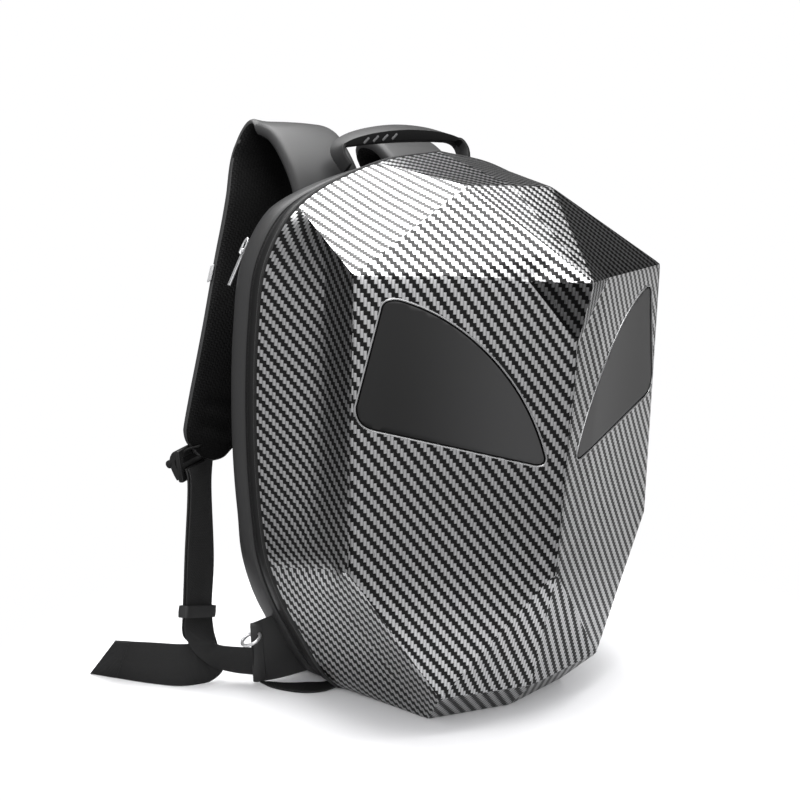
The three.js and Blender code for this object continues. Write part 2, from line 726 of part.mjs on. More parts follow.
function strapTag(side) {
  const { middle, along, across, wide } = strapLine(side)(TAG.along);
  const outward = across.clone().multiplyScalar(side);
  const seat = middle.clone().addScaledVector(outward, wide / 2 + TAG.thick / 2 + TAG.stand);
  const box = new THREE.BoxGeometry(TAG.wide, TAG.long, TAG.thick);
  const sideways = along.clone().cross(outward);
  return placed(box, sideways, along.clone(), sideways.clone().cross(along), seat);
}

// Zip slider and puller

function sliderFrame() {
  const [depth, proud] = WALL_BANDS.rear_zip.sections[0];
  const loop = wallLoop(depth, proud, 0);
  const i = loop.findIndex((p, k) => k > loop.length / 2 && p.z >= SLIDER_Z);
  const along = loop[i].clone().sub(loop[i - 1]).setY(0).normalize();
  const share = (SLIDER_Z - loop[i - 1].z) / (loop[i].z - loop[i - 1].z);
  const sideways = new THREE.Vector3(0, 1, 0);
  const out = sideways.clone().cross(along);
  const place = loop[i - 1].clone().lerp(loop[i], share).setY(RIM_Y + (depth + WALL_DEPTH) / 2);
  return { along, sideways, out: out.x < 0 ? out : out.negate(), place };
}

const slider = sliderFrame();
const pinPlace = slider.place.clone()
  .addScaledVector(slider.out, GAP + SLIDER.thick + SLIDER.rise)
  .addScaledVector(slider.along, -SLIDER.long / 4);

function pinCylinder(radius, length) {
  const cylinder = new THREE.CylinderGeometry(radius, radius, length, PIN_SIDES);
  return placed(cylinder, slider.along, slider.sideways, slider.out, pinPlace);
}

function sliderBox(along, sideways, out, place) {
  const box = new THREE.BoxGeometry(along, sideways, out);
  return placed(box, slider.along, slider.sideways, slider.out, place);
}

function zipSlider() {
  const seat = slider.place.clone().addScaledVector(slider.out, GAP + SLIDER.thick / 2);
  let solid = sliderBox(SLIDER.long, SLIDER.wide, SLIDER.thick, seat);
  const lugHigh = SLIDER.rise + SLIDER.knuckle;
  for (const side of [LEFT, RIGHT]) {
    const foot = pinPlace.clone().addScaledVector(slider.sideways, side * (SLIDER.wide - SLIDER.lug) / 2);
    const lug = foot.addScaledVector(slider.out, lugHigh / 2 - SLIDER.rise - GAP);
    solid = solid.add(sliderBox(2 * SLIDER.knuckle, SLIDER.lug, lugHigh, lug));
  }
  return solid.add(pinCylinder(SLIDER.pin, SLIDER.wide - SLIDER.lug)).subtract(wallPlug(GAP));
}

function zipPuller() {
  const eyeLong = SLIDER.wide - 2 * SLIDER.lug - 2 * GAP;
  const eye = pinCylinder(SLIDER.pin + PULLER.eye_wall, eyeLong);
  const arm = pinPlace.clone().addScaledVector(slider.along, -PULLER.long / 2);
  const plate = sliderBox(PULLER.long, eyeLong, PULLER.thick, arm);
  const tipPlace = pinPlace.clone().addScaledVector(slider.along, -(PULLER.long - PULLER.tip / 2));
  const tip = sliderBox(PULLER.tip * 2, PULLER.wide, PULLER.thick, tipPlace);
  return eye.add(plate).add(tip).subtract(pinCylinder(SLIDER.pin + GAP, SLIDER.wide));
}

// Materials and assembly

function finish(color, roughness, metalness = 0) {
  return new THREE.MeshStandardMaterial({ color, roughness, metalness });
}

const FINISH = {
  carbon: finish(0x4a4b4d, 0.38),
  panel: finish(0x2c2d2f, 0.3),
  binding: finish(0x111112, 0.6),
  satin: finish(0x38393b, 0.5),
  zip: finish(0x141415, 0.7),
  back: finish(0x1d1e1f, 0.9),
  pad: finish(0x3a3b3d, 0.55),
  handle: finish(0x232325, 0.5),
  plastic: finish(0x151516, 0.45),
  webbing: finish(0x1b1b1c, 0.85),
  keeper: finish(0x202022, 0.5),
  tag: finish(0xb8babc, 0.4),
  metal: finish(0xc4c6c8, 0.3, 1),
};

const bag = new THREE.Group();

function addPiece(name, solid, material) {
  const mesh = new THREE.Mesh(geometryOf(solid), material);
  mesh.name = name;
  bag.add(mesh);
}

addPiece('shell', shellSolid(), FINISH.carbon);
const BAND_FINISH = {
  rim_binding: 'binding', front_strip: 'satin', main_zip: 'zip', gusset: 'satin', rear_zip: 'zip',
};
for (const [name, band] of Object.entries(WALL_BANDS)) {
  addPiece(name, wallBand(band), FINISH[BAND_FINISH[name]]);
}
addPiece('back_panel', wallForm(BACK_SECTIONS, 0, BACK_FOOT), FINISH.back);
addPiece('top_handle', handleSolid(), FINISH.handle);
addPiece('zip_slider', zipSlider(), FINISH.metal);
addPiece('zip_puller', zipPuller(), FINISH.metal);

for (const [word, side] of [['left', LEFT], ['right', RIGHT]]) {
  addPiece(`eye_panel_${word}`, eyePanel(side), FINISH.panel);
  addPiece(`strap_pad_${word}`, strapPad(side), FINISH.pad);
  addPiece(`strap_tag_${word}`, strapTag(side), FINISH.tag);
  addPiece(`ladder_lock_${word}`, ladderLock(side), FINISH.plastic);
  addPiece(`webbing_${word}`, webbing(side), FINISH.webbing);
  addPiece(`webbing_tail_${word}`, webbingTail(side), FINISH.webbing);
  addPiece(`keeper_${word}`, keeperSolid(side), FINISH.keeper);
  addPiece(`corner_tab_${word}`, cornerTab(side), FINISH.satin);
  addPiece(`tab_ring_${word}`, tabRing(side, TAB_RING.wire), FINISH.metal);
  addPiece(`base_loop_${word}`, baseLoop(side), FINISH.webbing);
}

export default bag;
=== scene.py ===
"""Looks of a hard-front motorcycle backpack, built around its solids.

Metres, +Z up, standing on z = 0. The shell's front faces -Y, the wearer's back is at +Y and left is -X.
"""

import logging
import math
from dataclasses import dataclass, field
from enum import Enum
from typing import Callable, Sequence

import bpy
import numpy as np
from mathutils import Matrix, Vector

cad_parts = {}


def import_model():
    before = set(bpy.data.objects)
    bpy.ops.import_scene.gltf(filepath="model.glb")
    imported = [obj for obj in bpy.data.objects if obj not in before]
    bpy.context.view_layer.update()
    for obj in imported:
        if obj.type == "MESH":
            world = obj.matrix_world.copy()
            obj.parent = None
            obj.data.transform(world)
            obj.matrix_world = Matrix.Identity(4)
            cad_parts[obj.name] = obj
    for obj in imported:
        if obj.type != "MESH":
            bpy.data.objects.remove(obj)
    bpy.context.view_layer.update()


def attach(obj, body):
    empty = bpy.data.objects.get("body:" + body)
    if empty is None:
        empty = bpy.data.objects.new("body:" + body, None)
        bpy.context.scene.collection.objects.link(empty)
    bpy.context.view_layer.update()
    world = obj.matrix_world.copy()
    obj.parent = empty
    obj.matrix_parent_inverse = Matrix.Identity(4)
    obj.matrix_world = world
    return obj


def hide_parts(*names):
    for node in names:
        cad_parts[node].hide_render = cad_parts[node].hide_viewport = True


log = logging.getLogger("backpack")

BAG = "bag"
PULLER = "puller"
MERGE = 1e-5
# Angles in degrees up to which edges are shaded smooth: all, those of padded cloth, those of bands
SMOOTH, SOFT, BLUNT = 180.0, 60.0, 50.0
ASIDE, REARWARD, UP = np.eye(3)

Piece = bpy.types.Object
Finish = bpy.types.Material
Row = tuple[float, ...]
Pair = tuple[float, float]
Triple = tuple[float, float, float]
Array = np.ndarray
Socket = bpy.types.NodeSocket
Tree = bpy.types.NodeTree


class Side(Enum):
    """A side of the bag, with the sign of its X."""

    LEFT = -1
    RIGHT = 1

    @property
    def word(self) -> str:
        """The side's word in the names of its pieces."""
        return self.name.lower()

    def mirror(self, points: Array) -> Array:
        """Points given for the left side, on this side."""
        return points * np.array((-self.value, 1.0, 1.0))


# Meshes


def deselect() -> None:
    """Leaves object mode with nothing selected."""
    if bpy.context.object and bpy.context.object.mode != "OBJECT":
        bpy.ops.object.mode_set(mode="OBJECT")
    bpy.ops.object.select_all(action="DESELECT")


def pick(*pieces: Piece) -> None:
    """Selects pieces, the first of them active."""
    deselect()
    for piece in pieces:
        piece.select_set(True)
    bpy.context.view_layer.objects.active = pieces[0]


def edit(piece: Piece, *steps: Callable[[], object]) -> Piece:
    """Runs operators in edit mode, in order, with the whole mesh selected at the start."""
    pick(piece)
    bpy.ops.object.mode_set(mode="EDIT")
    bpy.ops.mesh.select_all(action="SELECT")
    for step in steps:
        step()
    bpy.ops.object.mode_set(mode="OBJECT")
    return piece


def merge() -> None:
    """Merges the doubles of the selected points."""
    bpy.ops.mesh.remove_doubles(threshold=MERGE)


def face_out() -> None:
    """Turns the selected faces outwards."""
    bpy.ops.mesh.normals_make_consistent(inside=False)


def close_ends() -> None:
    """Fills every open edge loop."""
    bpy.ops.mesh.select_all(action="DESELECT")
    bpy.ops.mesh.select_non_manifold()
    bpy.ops.mesh.fill_holes(sides=0)
    bpy.ops.mesh.select_all(action="SELECT")


def modify(piece: Piece, kind: str, **settings: object) -> Piece:
    """Adds a modifier of a kind with some settings and applies it."""
    modifier = piece.modifiers.new(kind.lower(), kind)
    for key, value in settings.items():
        setattr(modifier, key, value)
    pick(piece)
    bpy.ops.object.modifier_apply(modifier=modifier.name)
    return piece


def combine(piece: Piece, other: Piece, operation: str, **settings: object) -> Piece:
    """Cuts a piece by another or keeps what they share."""
    return modify(piece, "BOOLEAN", operation=operation, object=other, solver="EXACT", **settings)


def soften(piece: Piece, width: float, angle: float = 30.0, segments: int = 2) -> Piece:
    """Rounds the edges that turn by more than an angle, in degrees."""
    return modify(
        piece, "BEVEL", width=width, segments=segments, limit_method="ANGLE",
        angle_limit=math.radians(angle), harden_normals=False,
    )


def smooth_shade(piece: Piece, angle: float = 40.0) -> Piece:
    """Shades a piece smooth but for edges sharper than an angle, in degrees."""
    pick(piece)
    bpy.ops.object.shade_smooth_by_angle(angle=math.radians(angle))
    return piece


def named(piece: Piece, name: str) -> Piece:
    """Names a piece and its mesh."""
    piece.name = piece.data.name = name
    return piece


def values_of(parts: bpy.types.bpy_prop_collection, label: str) -> Array:
    """Places or directions of a mesh's points or faces, one row for each."""
    values = np.empty(len(parts) * 3)
    parts.foreach_get(label, values)
    return values.reshape(-1, 3)


def set_map(piece: Piece, uv: Array) -> None:
    """Sets a piece's map from one map place for each of its points."""
    mesh = piece.data
    corners = np.empty(len(mesh.loops), dtype=np.int32)
    mesh.loops.foreach_get("vertex_index", corners)
    mesh.uv_layers.active.data.foreach_set("uv", uv.reshape(-1, 2)[corners].reshape(-1))


def aligned(piece: Piece, x: Array, y: Array, z: Array, place: Array) -> Piece:
    """Moves a new piece's mesh to a place, its axes along three vectors and as long as they are."""
    turned = Matrix((x, y, z)).transposed().to_4x4()
    turned.translation = Vector(place)
    piece.data.transform(turned)
    return piece


def lengths(points: Array, axis: int) -> Array:
    """Running length along one axis of a grid of points."""
    steps = np.linalg.norm(np.diff(points, axis=axis), axis=2)
    padding = [(0, 0), (0, 0)]
    padding[axis] = (1, 0)
    return np.pad(np.cumsum(steps, axis=axis), padding)


def grid(name: str, points: Array, uv: Array | None = None) -> Piece:
    """Adds a grid and moves its points to rows of places.

    Args:
        name: the piece's name.
        points: places, as rows by columns by 3.
        uv: map places in metres, or None for the running lengths along columns and rows.

    Returns:
        The new piece, doubles merged.
    """
    rows, columns = points.shape[:2]
    if uv is None:
        along = lengths(points, 1).mean(axis=0)[None, :].repeat(rows, axis=0)
        across = lengths(points, 0).mean(axis=1)[:, None].repeat(columns, axis=1)
        uv = np.stack((along, across), axis=2)
    deselect()
    bpy.ops.mesh.primitive_grid_add(x_subdivisions=columns - 1, y_subdivisions=rows - 1, size=1)
    piece = named(bpy.context.object, name)
    piece.data.vertices.foreach_set("co", points.reshape(-1))
    set_map(piece, uv)
    piece.data.update()
    return edit(piece, merge)


def closed(points: Array, axis: int) -> Array:
    """A grid of points with its first row or column repeated at the end."""
    first = points[:1] if axis == 0 else points[:, :1]
    return np.concatenate((points, first), axis=axis)


def tube(name: str, loops: Array) -> Piece:
    """A closed solid through loops of equal length, its ends filled and its faces turned outwards."""
    return edit(grid(name, closed(loops, 1)), close_ends, face_out)


def hoop(name: str, loops: Array) -> Piece:
    """A closed ring through loops of equal length, the last of them beside the first."""
    return edit(grid(name, closed(closed(loops, 0), 1)), face_out)


def wire(name: str, path: Array, first: Array, second: Array, radius: float, sides: int) -> Piece:
    """A round wire along a closed path, by two directions square to it."""
    loops = [path + (first * math.cos(t) + second * math.sin(t)) * radius for t in round_turn(sides)]
    return smooth_shade(hoop(name, np.array(loops)), SMOOTH)


def slab(name: str, size: Row, x: Array, y: Array, place: Array, edge: float) -> Piece:
    """A block with rounded edges, its x and y along given directions.

    Args:
        name: the piece's name.
        size: its size along x, y and z.
        x: direction of its x.
        y: direction of its y.
        place: its middle.
        edge: radius of its edges.

    Returns:
        The block.
    """
    deselect()
    bpy.ops.mesh.primitive_cube_add(size=1)
    piece = named(bpy.context.object, name)
    aligned(piece, x * size[0], y * size[1], np.cross(x, y) * size[2], place)
    edit(piece, face_out)
    return smooth_shade(soften(piece, edge, segments=3))


def torus(size: Pair, steps: tuple[int, int], turned: Matrix) -> Piece:
    """A ring of round wire, by the radii of its middle line and wire and the steps round both."""
    deselect()
    bpy.ops.mesh.primitive_torus_add(
        major_radius=size[0], minor_radius=size[1], major_segments=steps[0], minor_segments=steps[1],
    )
    ring = bpy.context.object
    ring.data.transform(turned)
    return ring


def joined(name: str, pieces: Sequence[Piece]) -> Piece:
    """Joins pieces into one of a new name."""
    pick(*pieces)
    bpy.ops.object.join()
    return named(bpy.context.object, name)


def copied(piece: Piece, name: str) -> Piece:
    """A copy of a piece with its own mesh."""
    twin = piece.copy()
    twin.data = piece.data.copy()
    bpy.context.collection.objects.link(twin)
    return named(twin, name)


def dressed(piece: Piece, finishes: Sequence[Finish], slot: str, body: str = BAG, *nodes: str) -> None:
    """Gives a piece its finishes and its place in the frame.

    Args:
        piece: the piece.
        finishes: materials for its slots.
        slot: not used.
        body: the body that it rides on.
        nodes: the solids that it stands for.
    """
    faces = np.empty(len(piece.data.polygons), dtype=np.int32)
    piece.data.polygons.foreach_get("material_index", faces)
    piece.data.materials.clear()
    for finish in finishes:
        piece.data.materials.append(finish)
    piece.data.polygons.foreach_set("material_index", faces)
    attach(piece, body)
    if nodes:
        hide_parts(*nodes)
    log.info("%s: %d faces", piece.name, len(piece.data.polygons))


# Curves


def smooth_curve(points: Array, shares: Array) -> Array:
    """Places on a centripetal curve through points.

    Args:
        points: points by coordinates.
        shares: shares of the way from the first point to the last, point by point.

    Returns:
        A place for each share.
    """
    points = np.asarray(points, dtype=float)
    spans = len(points) - 1
    knots = np.concatenate(([2 * points[0] - points[1]], points, [2 * points[-1] - points[-2]]))
    places = np.asarray(shares, dtype=float) * spans
    span = np.minimum(places.astype(int), spans - 1)
    t = (places - span)[:, None]
    p0, p1, p2, p3 = (knots[span + k] for k in range(4))
    gaps = (np.linalg.norm(b - a, axis=1, keepdims=True) for a, b in ((p0, p1), (p1, p2), (p2, p3)))
    d0, d1, d2 = (np.maximum(gap, 1e-6) ** 0.5 for gap in gaps)
    m1 = ((p1 - p0) / d0 - (p2 - p0) / (d0 + d1) + (p2 - p1) / d1) * d1
    m2 = ((p2 - p1) / d1 - (p3 - p1) / (d1 + d2) + (p3 - p2) / d2) * d1
    return p1 + m1 * t + (3 * (p2 - p1) - 2 * m1 - m2) * t**2 + (2 * (p1 - p2) + m1 + m2) * t**3


def bezier(points: Sequence[Array], steps: int) -> Array:
    """Places on the curve from the first point to the last that the others pull on."""
    t = np.linspace(0, 1, steps + 1)[:, None]
    while len(points) > 1:
        points = [a * (1 - t) + b * t for a, b in zip(points, points[1:])]
    return points[0]


def unit(vectors: Array) -> Array:
    """Vectors made one long."""
    return vectors / np.maximum(np.linalg.norm(vectors, axis=-1, keepdims=True), 1e-12)


def across_to(vectors: Array, along: Array) -> Array:
    """Unit vectors with their part along a direction taken out."""
    return unit(vectors - along * np.sum(vectors * along, axis=-1, keepdims=True))


def tangents(line: Array) -> Array:
    """Unit directions along a line of places."""
    return unit(np.gradient(line, axis=0))


def loop_tangents(loop: Array) -> Array:
    """Unit directions along a closed loop of places."""
    return unit(np.roll(loop, -1, axis=0) - np.roll(loop, 1, axis=0))


def loop_normals(loop: Array) -> Array:
    """Outward unit directions of a loop that runs clockwise in X and Z."""
    along = loop_tangents(loop)
    return np.stack((-along[:, 2], np.zeros(len(loop)), along[:, 0]), axis=1)


def run_along(line: Array) -> Array:
    """Running length along a line of places."""
    return np.concatenate(([0.0], np.cumsum(np.linalg.norm(np.diff(line, axis=0), axis=1))))


def nearest_to(places: Array, line: Array) -> Array:
    """Number of the nearest place of a line, for each of some places."""
    return np.argmin(np.linalg.norm(places[:, None] - line[None], axis=2), axis=1)


def resampled(places: Array, known: Array, values: Array) -> Array:
    """Rows of values at new places, given at known places."""
    return np.stack([np.interp(places, known, column) for column in values.T], axis=1)


def round_turn(steps: int) -> Array:
    """Angles of one whole turn, in radians."""
    return np.radians(np.linspace(0, 360, steps, endpoint=False))


def smooth_step(low: float, high: float, values: Array) -> Array:
    """0 below low, 1 above high and smooth between."""
    t = np.clip((values - low) / (high - low), 0, 1)
    return t * t * (3 - 2 * t)


# Finishes


class Nodes:
    """Nodes of a material or group, with short ways to add and link them."""

    def __init__(self, tree: Tree) -> None:
        """Takes a node tree."""
        self.tree = tree

    def add(self, kind: str, inputs: dict | None = None, **settings: object) -> bpy.types.Node:
        """Adds a node.

        Args:
            kind: the node's type.
            inputs: sockets to link or values to set, by input name or number.
            settings: values of the node's properties.

        Returns:
            The node.
        """
        node = self.tree.nodes.new(kind)
        for key, value in settings.items():
            setattr(node, key, value)
        self.feed(node, inputs or {})
        return node

    def feed(self, node: bpy.types.Node, inputs: dict) -> None:
        """Links sockets to a node's inputs or sets their values, by input name or number."""
        for key, value in inputs.items():
            if isinstance(value, Socket):
                self.tree.links.new(value, node.inputs[key])
            else:
                node.inputs[key].default_value = value

    def math(self, operation: str, *values: object) -> Socket:
        """The result of a math node on sockets and numbers."""
        return self.add("ShaderNodeMath", dict(enumerate(values)), operation=operation).outputs[0]

    def blend(self, factor: object, low: object, high: object) -> Socket:
        """A colour between two colours."""
        return self.add("ShaderNodeMix", {0: factor, 6: low, 7: high}, data_type="RGBA").outputs[2]

    def choice(self, factor: object, low: object, high: object) -> Socket:
        """A number between two numbers."""
        return self.add("ShaderNodeMix", {0: factor, 2: low, 3: high}, data_type="FLOAT").outputs[0]

    def spread(self, factor: object, tone: float, shares: Pair) -> Socket:
        """A grey between two shares of a tone."""
        return self.blend(factor, *(grey(tone * share) for share in shares))

    def ranged(self, value: object, to: Pair, start: Pair = (0.0, 1.0), way: str = "LINEAR") -> Socket:
        """A value brought from one range to another, straight or smoothly."""
        ends = {"From Min": start[0], "From Max": start[1], "To Min": to[0], "To Max": to[1]}
        return self.add("ShaderNodeMapRange", {"Value": value, **ends}, interpolation_type=way).outputs[0]

    def vector(self, operation: str, first: object, second: Row) -> Socket:
        """The number that a vector math node gives."""
        return self.add("ShaderNodeVectorMath", {0: first, 1: second}, operation=operation).outputs["Value"]

    def part(self, vector: Socket, index: int) -> Socket:
        """One coordinate of a vector."""
        return self.add("ShaderNodeSeparateXYZ", {0: vector}).outputs[index]

    def place(self) -> Socket:
        """The place in object coordinates."""
        return self.add("ShaderNodeTexCoord").outputs["Object"]

    def group(self, tree: Tree, **inputs: object) -> bpy.types.NodeOutputs:
        """The outputs of a group, its inputs given by name."""
        return self.add("ShaderNodeGroup", inputs, node_tree=tree).outputs

    def woven(self, weave: Tree, tow: float, repeat: float) -> bpy.types.NodeOutputs:
        """The outputs of the weave group on the piece's own map, every tow half the repeat on top."""
        place = self.add("ShaderNodeUVMap", uv_map="UVMap").outputs[0]
        return self.group(weave, Place=place, Tow=tow, Repeat=repeat, Float=repeat / 2)

    def noise(self, vector: Socket, scale: float, detail: float = 3.0) -> Socket:
        """Fine noise from 0 to 1."""
        inputs = {"Vector": vector, "Scale": scale, "Detail": detail}
        return self.add("ShaderNodeTexNoise", inputs).outputs["Fac"]


def grey(value: float) -> tuple[float, float, float, float]:
    """An opaque neutral colour."""
    return (value, value, value * 1.01, 1.0)


@dataclass(frozen=True)
class Groups:
    """Shader node groups that several finishes share, and the scales of their noise."""

    streak_scale: float = 2600.0
    streak_stretch: float = 0.04
    wave_scale: float = 28.0
    mottle_scale: float = 9.0

    @staticmethod
    def start(name: str, inputs: dict[str, str], outputs: dict[str, str]) -> Tree:
        """Starts a group.

        Args:
            name: the group's name.
            inputs: socket types by input name.
            outputs: socket types by output name.

        Returns:
            The group's tree, with its input and output nodes.
        """
        tree = bpy.data.node_groups.new(name, "ShaderNodeTree")
        for way, sockets in (("INPUT", inputs), ("OUTPUT", outputs)):
            for label, kind in sockets.items():
                tree.interface.new_socket(label, in_out=way, socket_type=kind)
        tree.nodes.new("NodeGroupInput")
        tree.nodes.new("NodeGroupOutput")
        return tree

    def weave(self) -> Tree:
        """Two sets of tows crossing: which is on top, and how high it stands.

        Returns:
            A group with the map place, the tow's width, the repeat and the float as inputs.
        """
        value = "NodeSocketFloat"
        tree = self.start(
            "weave", {"Place": "NodeSocketVector", "Tow": value, "Repeat": value, "Float": value},
            {"Over": value, "Height": value, "Streak": value},
        )
        made = tree.nodes["Group Input"].outputs
        nodes = Nodes(tree)
        across, along = (nodes.math("DIVIDE", nodes.part(made["Place"], k), made["Tow"]) for k in (0, 1))
        cells = nodes.math("ADD", nodes.math("FLOOR", across), nodes.math("FLOOR", along))
        turn = nodes.math("FLOORED_MODULO", cells, made["Repeat"])
        over = nodes.math("LESS_THAN", turn, made["Float"])
        bulges, streaks = [], []
        thin = self.streak_stretch
        for way, stretch in ((across, (1.0, thin, 1.0)), (along, (thin, 1.0, 1.0))):
            bulges.append(nodes.math("SINE", nodes.math("MULTIPLY", nodes.math("FRACT", way), math.pi)))
            drawn = nodes.add("ShaderNodeMapping", {"Vector": made["Place"], "Scale": stretch}).outputs[0]
            streaks.append(nodes.noise(drawn, self.streak_scale, 2.0))
        height, streak = (nodes.choice(over, *pair[::-1]) for pair in (bulges, streaks))
        nodes.feed(tree.nodes["Group Output"], {"Over": over, "Height": height, "Streak": streak})
        return tree

    def grain(self) -> Tree:
        """Fine leathery grain over slow waves.

        Returns:
            A group with the place, the grain's scale and the share of waves as inputs.
        """
        value = "NodeSocketFloat"
        tree = self.start(
            "grain", {"Place": "NodeSocketVector", "Scale": value, "Waves": value},
            {"Height": value, "Mottle": value},
        )
        made = tree.nodes["Group Input"].outputs
        nodes = Nodes(tree)
        inputs = {"Vector": made["Place"], "Scale": made["Scale"]}
        cells = nodes.add("ShaderNodeTexVoronoi", inputs).outputs["Distance"]
        slow = nodes.noise(made["Place"], self.wave_scale)
        mottle = nodes.noise(made["Place"], self.mottle_scale, 4.0)
        height = nodes.math("ADD", cells, nodes.math("MULTIPLY", slow, made["Waves"]))
        nodes.feed(tree.nodes["Group Output"], {"Height": height, "Mottle": mottle})
        return tree


@dataclass(frozen=True)
class Surface:
    """What a Principled surface sets directly."""

    roughness: float = 0.5
    metallic: float = 0.0
    specular: float = 0.5
    coat: float = 0.0
    coat_roughness: float = 0.1
    sheen: float = 0.0

    def start(self, name: str) -> tuple[Finish, Nodes, bpy.types.Node]:
        """Starts a material.

        Args:
            name: the material's name.

        Returns:
            The material, its nodes and its Principled node.
        """
        finish = bpy.data.materials.new(name)
        finish.use_nodes = True
        nodes, shader = Nodes(finish.node_tree), finish.node_tree.nodes["Principled BSDF"]
        nodes.feed(shader, {
            "Roughness": self.roughness, "Metallic": self.metallic, "Specular IOR Level": self.specular,
            "Coat Weight": self.coat, "Coat Roughness": self.coat_roughness, "Sheen Weight": self.sheen,
        })
        return finish, nodes, shader


def bump(nodes: Nodes, height: Socket, strength: float, depth: float) -> Socket:
    """The normal of a surface bumped by a height of a depth in metres."""
    return nodes.add("ShaderNodeBump", {"Height": height, "Strength": strength, "Distance": depth}).outputs[0]


@dataclass(frozen=True)
class CarbonFinish:
    """Twill carbon weave under a clear coat: bright tows shine, the tows across them stay dark."""

    tow: float = 0.0027
    light: float = 0.80
    dark: float = 0.003
    # Tone that the painted shade in the grooves between tows darkens towards
    gap: float = 0.003
    repeat: float = 4.0
    # Shares of the tones along the streaks, and how much of the tone is left at a tow's edge, where painted
    # shade darkens it towards the gap's tone
    light_spread: Pair = (0.7, 1.3)
    dark_spread: Pair = (0.5, 2.0)
    edge_shade: Pair = (0.55, 1.0)
    rough: Pair = (0.24, 0.34)
    strength: float = 0.2
    depth: float = 0.0003
    surface: Surface = Surface(roughness=0.30, specular=0.1, coat=0.35, coat_roughness=0.08)

    def make(self, weave: Tree) -> Finish:
        """The material, on the piece's own map."""
        finish, nodes, shader = self.surface.start("carbon")
        made = nodes.woven(weave, self.tow, self.repeat)
        over, height, streak = (made[label] for label in ("Over", "Height", "Streak"))
        bright = nodes.spread(streak, self.light, self.light_spread)
        deep = nodes.spread(streak, self.dark, self.dark_spread)
        # Painted shade: each tow darkens towards its edges, where it dips into the grooves between tows
        shade = nodes.ranged(height, self.edge_shade)
        nodes.feed(shader, {
            "Base Color": nodes.blend(shade, grey(self.gap), nodes.blend(over, deep, bright)),
            "Metallic": over,
            "Roughness": nodes.ranged(streak, self.rough),
            "Normal": bump(nodes, height, self.strength, self.depth),
        })
        return finish


@dataclass(frozen=True)
class GrainFinish:
    """A plain surface with a fine grain: coated cloth, moulded plastic or rubber."""

    name: str
    tone: float
    surface: Surface
    scale: float = 900.0
    waves: float = 0.0
    depth: float = 0.0002
    strength: float = 0.25
    tone_spread: Pair = (0.82, 1.16)
    rough_spread: Pair = (-0.05, 0.06)

    def make(self, grain: Tree) -> Finish:
        """The material, on object coordinates."""
        finish, nodes, shader = self.surface.start(self.name)
        made = nodes.group(grain, Place=nodes.place(), Scale=self.scale, Waves=self.waves)
        low, high = (self.surface.roughness + more for more in self.rough_spread)
        nodes.feed(shader, {
            "Base Color": nodes.spread(made["Mottle"], self.tone, self.tone_spread),
            "Roughness": nodes.ranged(made["Mottle"], (low, high)),
            "Normal": bump(nodes, made["Height"], self.strength, self.depth),
        })
        return finish


@dataclass(frozen=True)
class LensFinish:
    """The eye panels' satin plastic, with a painted sheen: its tone grows paler towards the bag's middle."""

    # Tone at the outer edge, the paler tone of the painted sheen towards the middle, and the distances from
    # the middle over which it fades in
    outer: float = 0.007
    inner: float = 0.042
    fade: Pair = (0.13, 0.02)
    scale: float = 1500.0
    strength: float = 0.06
    depth: float = 0.0002
    surface: Surface = Surface(roughness=0.36, specular=0.5)

    def make(self, grain: Tree) -> Finish:
        """The material, on object coordinates."""
        finish, nodes, shader = self.surface.start("panel")
        place = nodes.place()
        # Painted sheen: the base tone grows paler from the outer edge towards the bag's middle
        aside = nodes.math("ABSOLUTE", nodes.part(place, 0))
        near = nodes.ranged(aside, (0.0, 1.0), self.fade, "SMOOTHSTEP")
        made = nodes.group(grain, Place=place, Scale=self.scale)
        nodes.feed(shader, {
            "Base Color": nodes.blend(near, grey(self.outer), grey(self.inner)),
            "Normal": bump(nodes, made["Height"], self.strength, self.depth),
        })
        return finish


@dataclass(frozen=True)
class WovenFinish:
    """Woven tape or mesh cloth on the piece's own map, with painted shade in the grooves between threads."""

    name: str
    tone: float
    tow: float
    surface: Surface
    # Share by which painted shade darkens the grooves between threads and a painted highlight lightens their
    # crowns
    contrast: float = 0.5
    depth: float = 0.0004
    repeat: float = 2.0
    strength: float = 0.5

    def make(self, weave: Tree) -> Finish:
        """The material, on the piece's own map."""
        finish, nodes, shader = self.surface.start(self.name)
        made = nodes.woven(weave, self.tow, self.repeat)
        # Painted shade and highlight of the weave's relief: the tone runs from dark in the grooves to pale on
        # the crowns
        nodes.feed(shader, {
            "Base Color": nodes.spread(made["Height"], self.tone, (1 - self.contrast, 1 + self.contrast)),
            "Normal": bump(nodes, made["Height"], self.strength, self.depth),
        })
        return finish


@dataclass(frozen=True)
class MetalFinish:
    """Bright plated metal with fine brushing."""

    tone: float = 0.82
    tone_spread: Pair = (0.85, 1.1)
    rough: Pair = (0.22, 0.38)
    scale: float = 800.0
    surface: Surface = Surface(metallic=0.75)

    def make(self) -> Finish:
        """The material."""
        finish, nodes, shader = self.surface.start("metal")
        brushed = nodes.noise(nodes.place(), self.scale)
        nodes.feed(shader, {
            "Base Color": nodes.spread(brushed, self.tone, self.tone_spread),
            "Roughness": nodes.ranged(brushed, self.rough),
        })
        return finish


